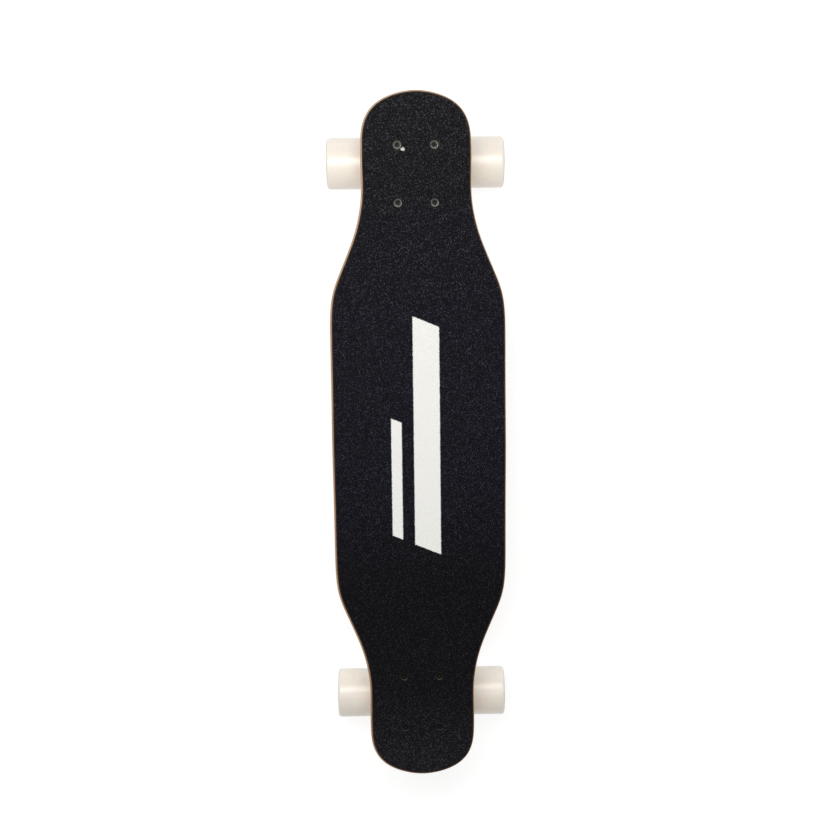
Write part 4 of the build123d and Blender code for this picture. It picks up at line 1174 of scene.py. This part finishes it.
def ball_set(x):
    objs = []
    for i in range(7):
        a = 2 * math.pi * i / 7
        arc = [(1.98 * math.cos(b), max(0.02, 1.98 * math.sin(b))) for b in np.linspace(0, math.pi, 15)]
        s = lathe("ball", arc, 22, closed=True)
        objs.append(move(s, at_x(0, 7.5 * math.sin(a), 7.5 * math.cos(a))))
    objs.append(ring_piece("cage", 1.9, 2.6, 6.9, 8.1, 0.15, 42))
    n = 56
    rings = []
    for x0, r in ((-2.6, 6.95), (-2.6, 8.05), (None, 8.05), (None, 6.95)):
        row = []
        for i in range(n):
            a = 2 * math.pi * i / n
            w = abs(((a * 7 / (2 * math.pi) + 0.5) % 1.0) - 0.5) * 2
            xx = x0 if x0 is not None else -2.2 + 3.0 * max(0.0, (w - 0.55) / 0.45) ** 0.6
            row.append((xx, r * math.sin(a), r * math.cos(a)))
        rings.append(row)
    objs.append(surface("cage_fingers", rings + [rings[0]], cap=False))
    return move(join("balls", objs), at_x(x, 0, 0))


def build_bearings():
    seats = {
        "front_left": (AY, (-88.3, -71.3)), "front_right": (AY, (71.3, 88.3)),
        "rear_left": (-AY, (-88.3, -71.3)), "motor": (-AY, (62.3, 88.3)),
    }
    for name, (y, xs) in seats.items():
        o = move(join(name + "_races", [outer_race(x) for x in xs]), at_x(0, y, AZ))
        shade(o, 30)
        finish_piece(o, name + "_wheel", [name + "_outer_races"], node_slot[name + "_outer_races"],
                     seal_material(name + "_bearing_finish", y * MM, AZ * MM))
        o = move(join(name + "_balls", [ball_set(x) for x in xs]), at_x(0, y, AZ))
        shade(o, 40)
        finish_piece(o, name + "_ball_set", [name + "_bearing_balls"], node_slot[name + "_bearing_balls"])
    for side, y, xs in (("front", AY, (-88.3, -71.3, 71.3, 88.3)), ("rear", -AY, (-88.3, -71.3, 62.3, 88.3))):
        o = move(join(side + "_races_inner", [inner_race(x) for x in xs]), at_x(0, y, AZ))
        shade(o, 30)
        finish_piece(o, side + "_truck", [side + "_inner_races"], node_slot[side + "_inner_races"])


def lip_points(inner):
    """Half of a tyre's outline from the tread's middle to its inner edge."""
    pts = [(x, 29.5) for x in (0.0, 8.0, 16.0, 18.2)]
    for k in range(1, 9):
        a = math.pi / 2 * k / 8
        pts.append((19.3 + 3.2 * math.sin(a), 26.3 + 3.2 * math.cos(a)))
    return pts + inner


def build_wheels():
    face = [(22.5, 24.6), (22.5, 23.0), (22.38, 22.65), (22.05, 22.3), (21.75, 21.9), (21.55, 21.3), (19.5, 19.8), (15.6, 17.35),
            (15.15, 17.1), (14.8, 17.02), (4.0, 17.02), (4.0, 19.55), (0.0, 19.6)]
    half = lip_points(face)
    prof = half + [(-x, r) for x, r in reversed(half[1:-1])]
    core_half = [(0, 19.5), (3.9, 19.5), (3.95, 17.0), (14.6, 16.98), (14.9, 16.8), (15.0, 16.4), (15.0, 15.9), (14.7, 15.6),
                 (14.7, 13.6), (15.0, 13.3), (15.0, 12.9), (14.85, 12.5), (12.1, 11.05), (5.0, 11.02), (5.0, 9.5), (4.8, 9.3), (0, 9.3)]
    core_prof = core_half + [(-x, r) for x, r in reversed(core_half[1:-1])]
    for name, (sx, y) in WHEELS.items():
        o = move(lathe(name + "_urethane", prof, 144), at_x(sx * WX, y, AZ))
        shade(o, 38)
        finish_piece(o, name + "_wheel", [name + "_tyre"], "wheel_urethane")
        o = lathe(name + "_hub", core_prof, 96)
        o = move(o, at_x(sx * WX, y, AZ))
        shade(o, 32)
        finish_piece(o, name + "_wheel", [name + "_core"], "core_plastic")


def build_motor():
    half = lip_points([(22.5, 24.9), (22.3, 24.55), (21.6, 23.7), (21.2, 23.62), (0.0, 23.6)])
    prof = half + [(-x, r) for x, r in reversed(half[1:-1])]
    place = at_x(WX, -AY, AZ)
    o = move(lathe("motor_urethane", prof, 144), place)
    shade(o, 38)
    finish_piece(o, "motor_wheel", ["motor_tyre"], "wheel_urethane")
    place = at_x(0, -AY, AZ)
    can = round_profile([(58.2, 23.58), (96.3, 23.58), (96.3, 21.42), (61.4, 21.42), (61.4, 14.2), (65.8, 14.2), (65.8, 11.02),
                         (58.8, 11.02), (58.8, 9.7), (58.2, 9.7)],
                        [0.5, 0.5, 0.4, 0.6, 0.8, 0.4, 0.3, 0, 0, 0.2], 4)
    o = move(lathe("can", can, 128), place)
    shade(o, 32)
    finish_piece(o, "motor_wheel", ["rotor_can"], node_slot["rotor_can"])
    cover = [(88.6, 21.38), (91.5, 21.38), (91.8, 21.25), (92.45, 20.55), (92.6, 20.3), (92.6, 19.95), (92.35, 19.8), (92.35, 14.6),
             (92.6, 14.45), (92.6, 12.3), (92.5, 12.05), (91.8, 11.05), (84.8, 11.02), (84.8, 9.7), (83.8, 9.7), (83.8, 13.7),
             (84.1, 14.0), (88.6, 14.0)]
    o = lathe("cover", cover, 120)
    tools = []
    for i in range(6):
        a = 2 * math.pi * (i + 0.5) / 6
        tools.append(Matrix.Translation(Vector((0, 17.4 * math.sin(a), 17.4 * math.cos(a))) * MM))
    holes = many("holes", lathe("hole", [(91.3, 0.01), (91.3, 2.45), (95, 2.45), (95, 0.01)], 28), tools)
    cut(o, holes)
    break_edges(o, 0.12, 2, 35, 0)
    move(o, place)
    shade(o, 32)
    finish_piece(o, "motor_wheel", ["motor_cover"], node_slot["motor_cover"])
    s = lathe("mscrew", round_profile([(88.6, 0.02), (88.6, 1.25), (91.2, 1.25), (91.2, 2.25), (92.9, 2.25), (92.9, 0.02)],
                                      [0, 0, 0, 0.1, 0.3, 0], 3), 32)
    h = lathe("mhex", [(91.9, 0.01), (91.9, 1.15), (94, 1.15), (94, 0.01)], 6)
    cut(s, h)
    o = move(many("motor_screw_set", s, tools), place)
    shade(o, 35)
    finish_piece(o, "motor_wheel", ["motor_cover_screws"], node_slot["motor_cover_screws"])


# ---------------------------------------------------------------------------
# case under the deck
# ---------------------------------------------------------------------------
def rounded_loop(w, l, r, z, per=12, straight=10):
    pts = []
    corners = [(w / 2 - r, l / 2 - r, 0), (-(w / 2 - r), l / 2 - r, 90), (-(w / 2 - r), -(l / 2 - r), 180), (w / 2 - r, -(l / 2 - r), 270)]
    for i, (cx, cy, a0) in enumerate(corners):
        for k in range(per + 1):
            a = math.radians(a0 + 90 * k / per)
            pts.append((cx + r * math.cos(a), cy + r * math.sin(a), z))
        nx, ny, na = corners[(i + 1) % 4]
        a = math.radians(a0 + 90)
        p0 = (cx + r * math.cos(a), cy + r * math.sin(a))
        p1 = (nx + r * math.cos(a), ny + r * math.sin(a))
        for k in range(1, straight):
            w_ = k / straight
            pts.append((p0[0] + (p1[0] - p0[0]) * w_, p0[1] + (p1[1] - p0[1]) * w_, z))
    return pts


def capsule(name, x0, x1, y, r, z0, z1, axis="Y"):
    """A block with round ends, for cutting slots."""
    n = 12
    pts = []
    for k in range(n + 1):
        a = -math.pi / 2 + math.pi * k / n
        pts.append((x1 + r * math.cos(a), y + r * math.sin(a)))
    for k in range(n + 1):
        a = math.pi / 2 + math.pi * k / n
        pts.append((x0 + r * math.cos(a), y + r * math.sin(a)))
    if axis == "Y":
        pts = [(b, a) for a, b in pts]
    return surface(name, [[(a, b, z) for a, b in pts] for z in (z0, z1)])


def build_case():
    rows = [(129, 359, 13.5, 52.5)]
    # outside from the bottom up, over the flange, then down the inside
    for k in range(9):
        a = math.pi / 2 * k / 8
        d = 7.0 * (1 - math.sin(a))
        rows.append((146 - 2 * d, 376 - 2 * d, max(22 - d, 2), 52.5 + 7.0 * (1 - math.cos(a))))
    rows += [(146, 376, 22, 82.2), (146.5, 376.5, 22.2, 83.3), (148.0, 378.0, 22.5, 84.0), (165.4, 397.4, 24.2, 84.0),
             (167.2, 399.2, 24.8, 84.35), (168, 400, 25, 85.2), (168, 400, 25, 86.7), (167.5, 399.5, 24.8, 87.0), (141, 371, 19.5, 87.0),
             (141, 371, 19.5, 59.5), (139, 369, 18.5, 56.2), (134, 364, 16.0, 55.0)]
    o = surface("case_shell", [rounded_loop(*r) for r in rows])
    tools = [capsule("slot", -128, 128, x, 2.2, 50, 53.2) for x in (-45, -30, -15, 0, 15, 30, 45)]
    cut(o, *tools)
    tools = [move(rod("t", 6.0, 65, 78), at_x(0, -95, 66)), move(rod("t", 7.0, 65, 78), at_x(0, -147, 66)),
             solid_box("t", (65, -127, 63.8), (78, -115, 68.2)),
             move(rod("t", 6.0, -8, 8), aim((36, -188, 66), (0, 1, 0)))]
    cut(o, *tools)
    break_edges(o, 0.3, 2, 42, 0)
    shade(o, 35)
    finish_piece(o, "board", ["enclosure"], node_slot["enclosure"])
    rows = [(141, 371, 19.5, 87.0), (166.6, 398.6, 24.3, 87.0), (167.2, 399.2, 24.6, 87.4), (167.2, 399.2, 24.6, 88.1),
            (166.6, 398.6, 24.3, 88.5), (141, 371, 19.5, 88.5)]
    rings = [rounded_loop(*r) for r in rows]
    o = surface("gasket_ring", rings + [rings[0]], cap=False)
    shade(o, 40)
    finish_piece(o, "board", ["enclosure_gasket"], node_slot["enclosure_gasket"])

    prof = [(0, 0.02), (0, 9.25), (60.2, 9.25), (61.0, 8.95), (61.6, 8.95), (62.3, 9.25), (63.6, 9.2), (64.1, 8.8), (64.1, 5.4), (63.8, 5.2),
            (63.8, 3.4), (65.0, 3.1), (65.0, 0.02)]
    c = lathe("cell", prof, 40)
    o = many("battery_cell_set", c, [at_x(x, -8 + 19.4 * i, 66) for i in range(10) for x in (-67, 2)])
    shade(o, 35)
    finish_piece(o, "board", ["battery_cells"], node_slot["battery_cells"])
    for node, w in (("cell_holders", 0.3), ("bms_board", 0.15), ("esc_board", 0.15), ("charge_port", 0.25), ("charge_cap", 0.3),
                    ("indicator_lens", 0.12), ("button_housing", 0.25), ("power_button", 0.12), ("motor_cable_gland", 0.3),
                    ("charge_cap_pin", 0.15), ("stator_core", 0.12), ("stator_windings", 0.5), ("rotor_magnets", 0.15)):
        bevelled(node, node + "_made", w, 2)


build_deck()
build_grip()
build_bolts()
build_case_screws()
build_trucks()
build_bearings()
build_wheels()
build_motor()
build_case()
spring = copy_node("button_spring", "button_spring_made")
shade(spring, 50)
finish_piece(spring, node_body["button_spring"], ["button_spring"], node_slot["button_spring"])
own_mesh(spring)


# ---------------------------------------------------------------------------
# floor
# ---------------------------------------------------------------------------
floor_mesh = bpy.data.meshes.new("floor")
s = 12.0
floor_mesh.from_pydata([(-s, -s, 0), (s, -s, 0), (s, s, 0), (-s, s, 0)], [], [(0, 1, 2, 3)])
floor = link(floor_mesh, "floor")
fm = bpy.data.materials.new("floor")
fm.use_nodes = True
nt = fm.node_tree
bsdf = nt.nodes["Principled BSDF"]
bsdf.inputs["Base Color"].default_value = (0.38, 0.38, 0.38, 1)
bsdf.inputs["Roughness"].default_value = 0.9
bsdf.inputs["Emission Color"].default_value = (1, 1, 1, 1)
bsdf.inputs["Emission Strength"].default_value = 0.74
clear = nt.nodes.new("ShaderNodeBsdfTransparent")
mixer = nt.nodes.new("ShaderNodeMixShader")
geo = nt.nodes.new("ShaderNodeNewGeometry")
nt.links.new(geo.outputs["Backfacing"], mixer.inputs[0])
nt.links.new(bsdf.outputs[0], mixer.inputs[1])
nt.links.new(clear.outputs[0], mixer.inputs[2])
nt.links.new(mixer.outputs[0], nt.nodes["Material Output"].inputs["Surface"])
floor.data.materials.append(fm)
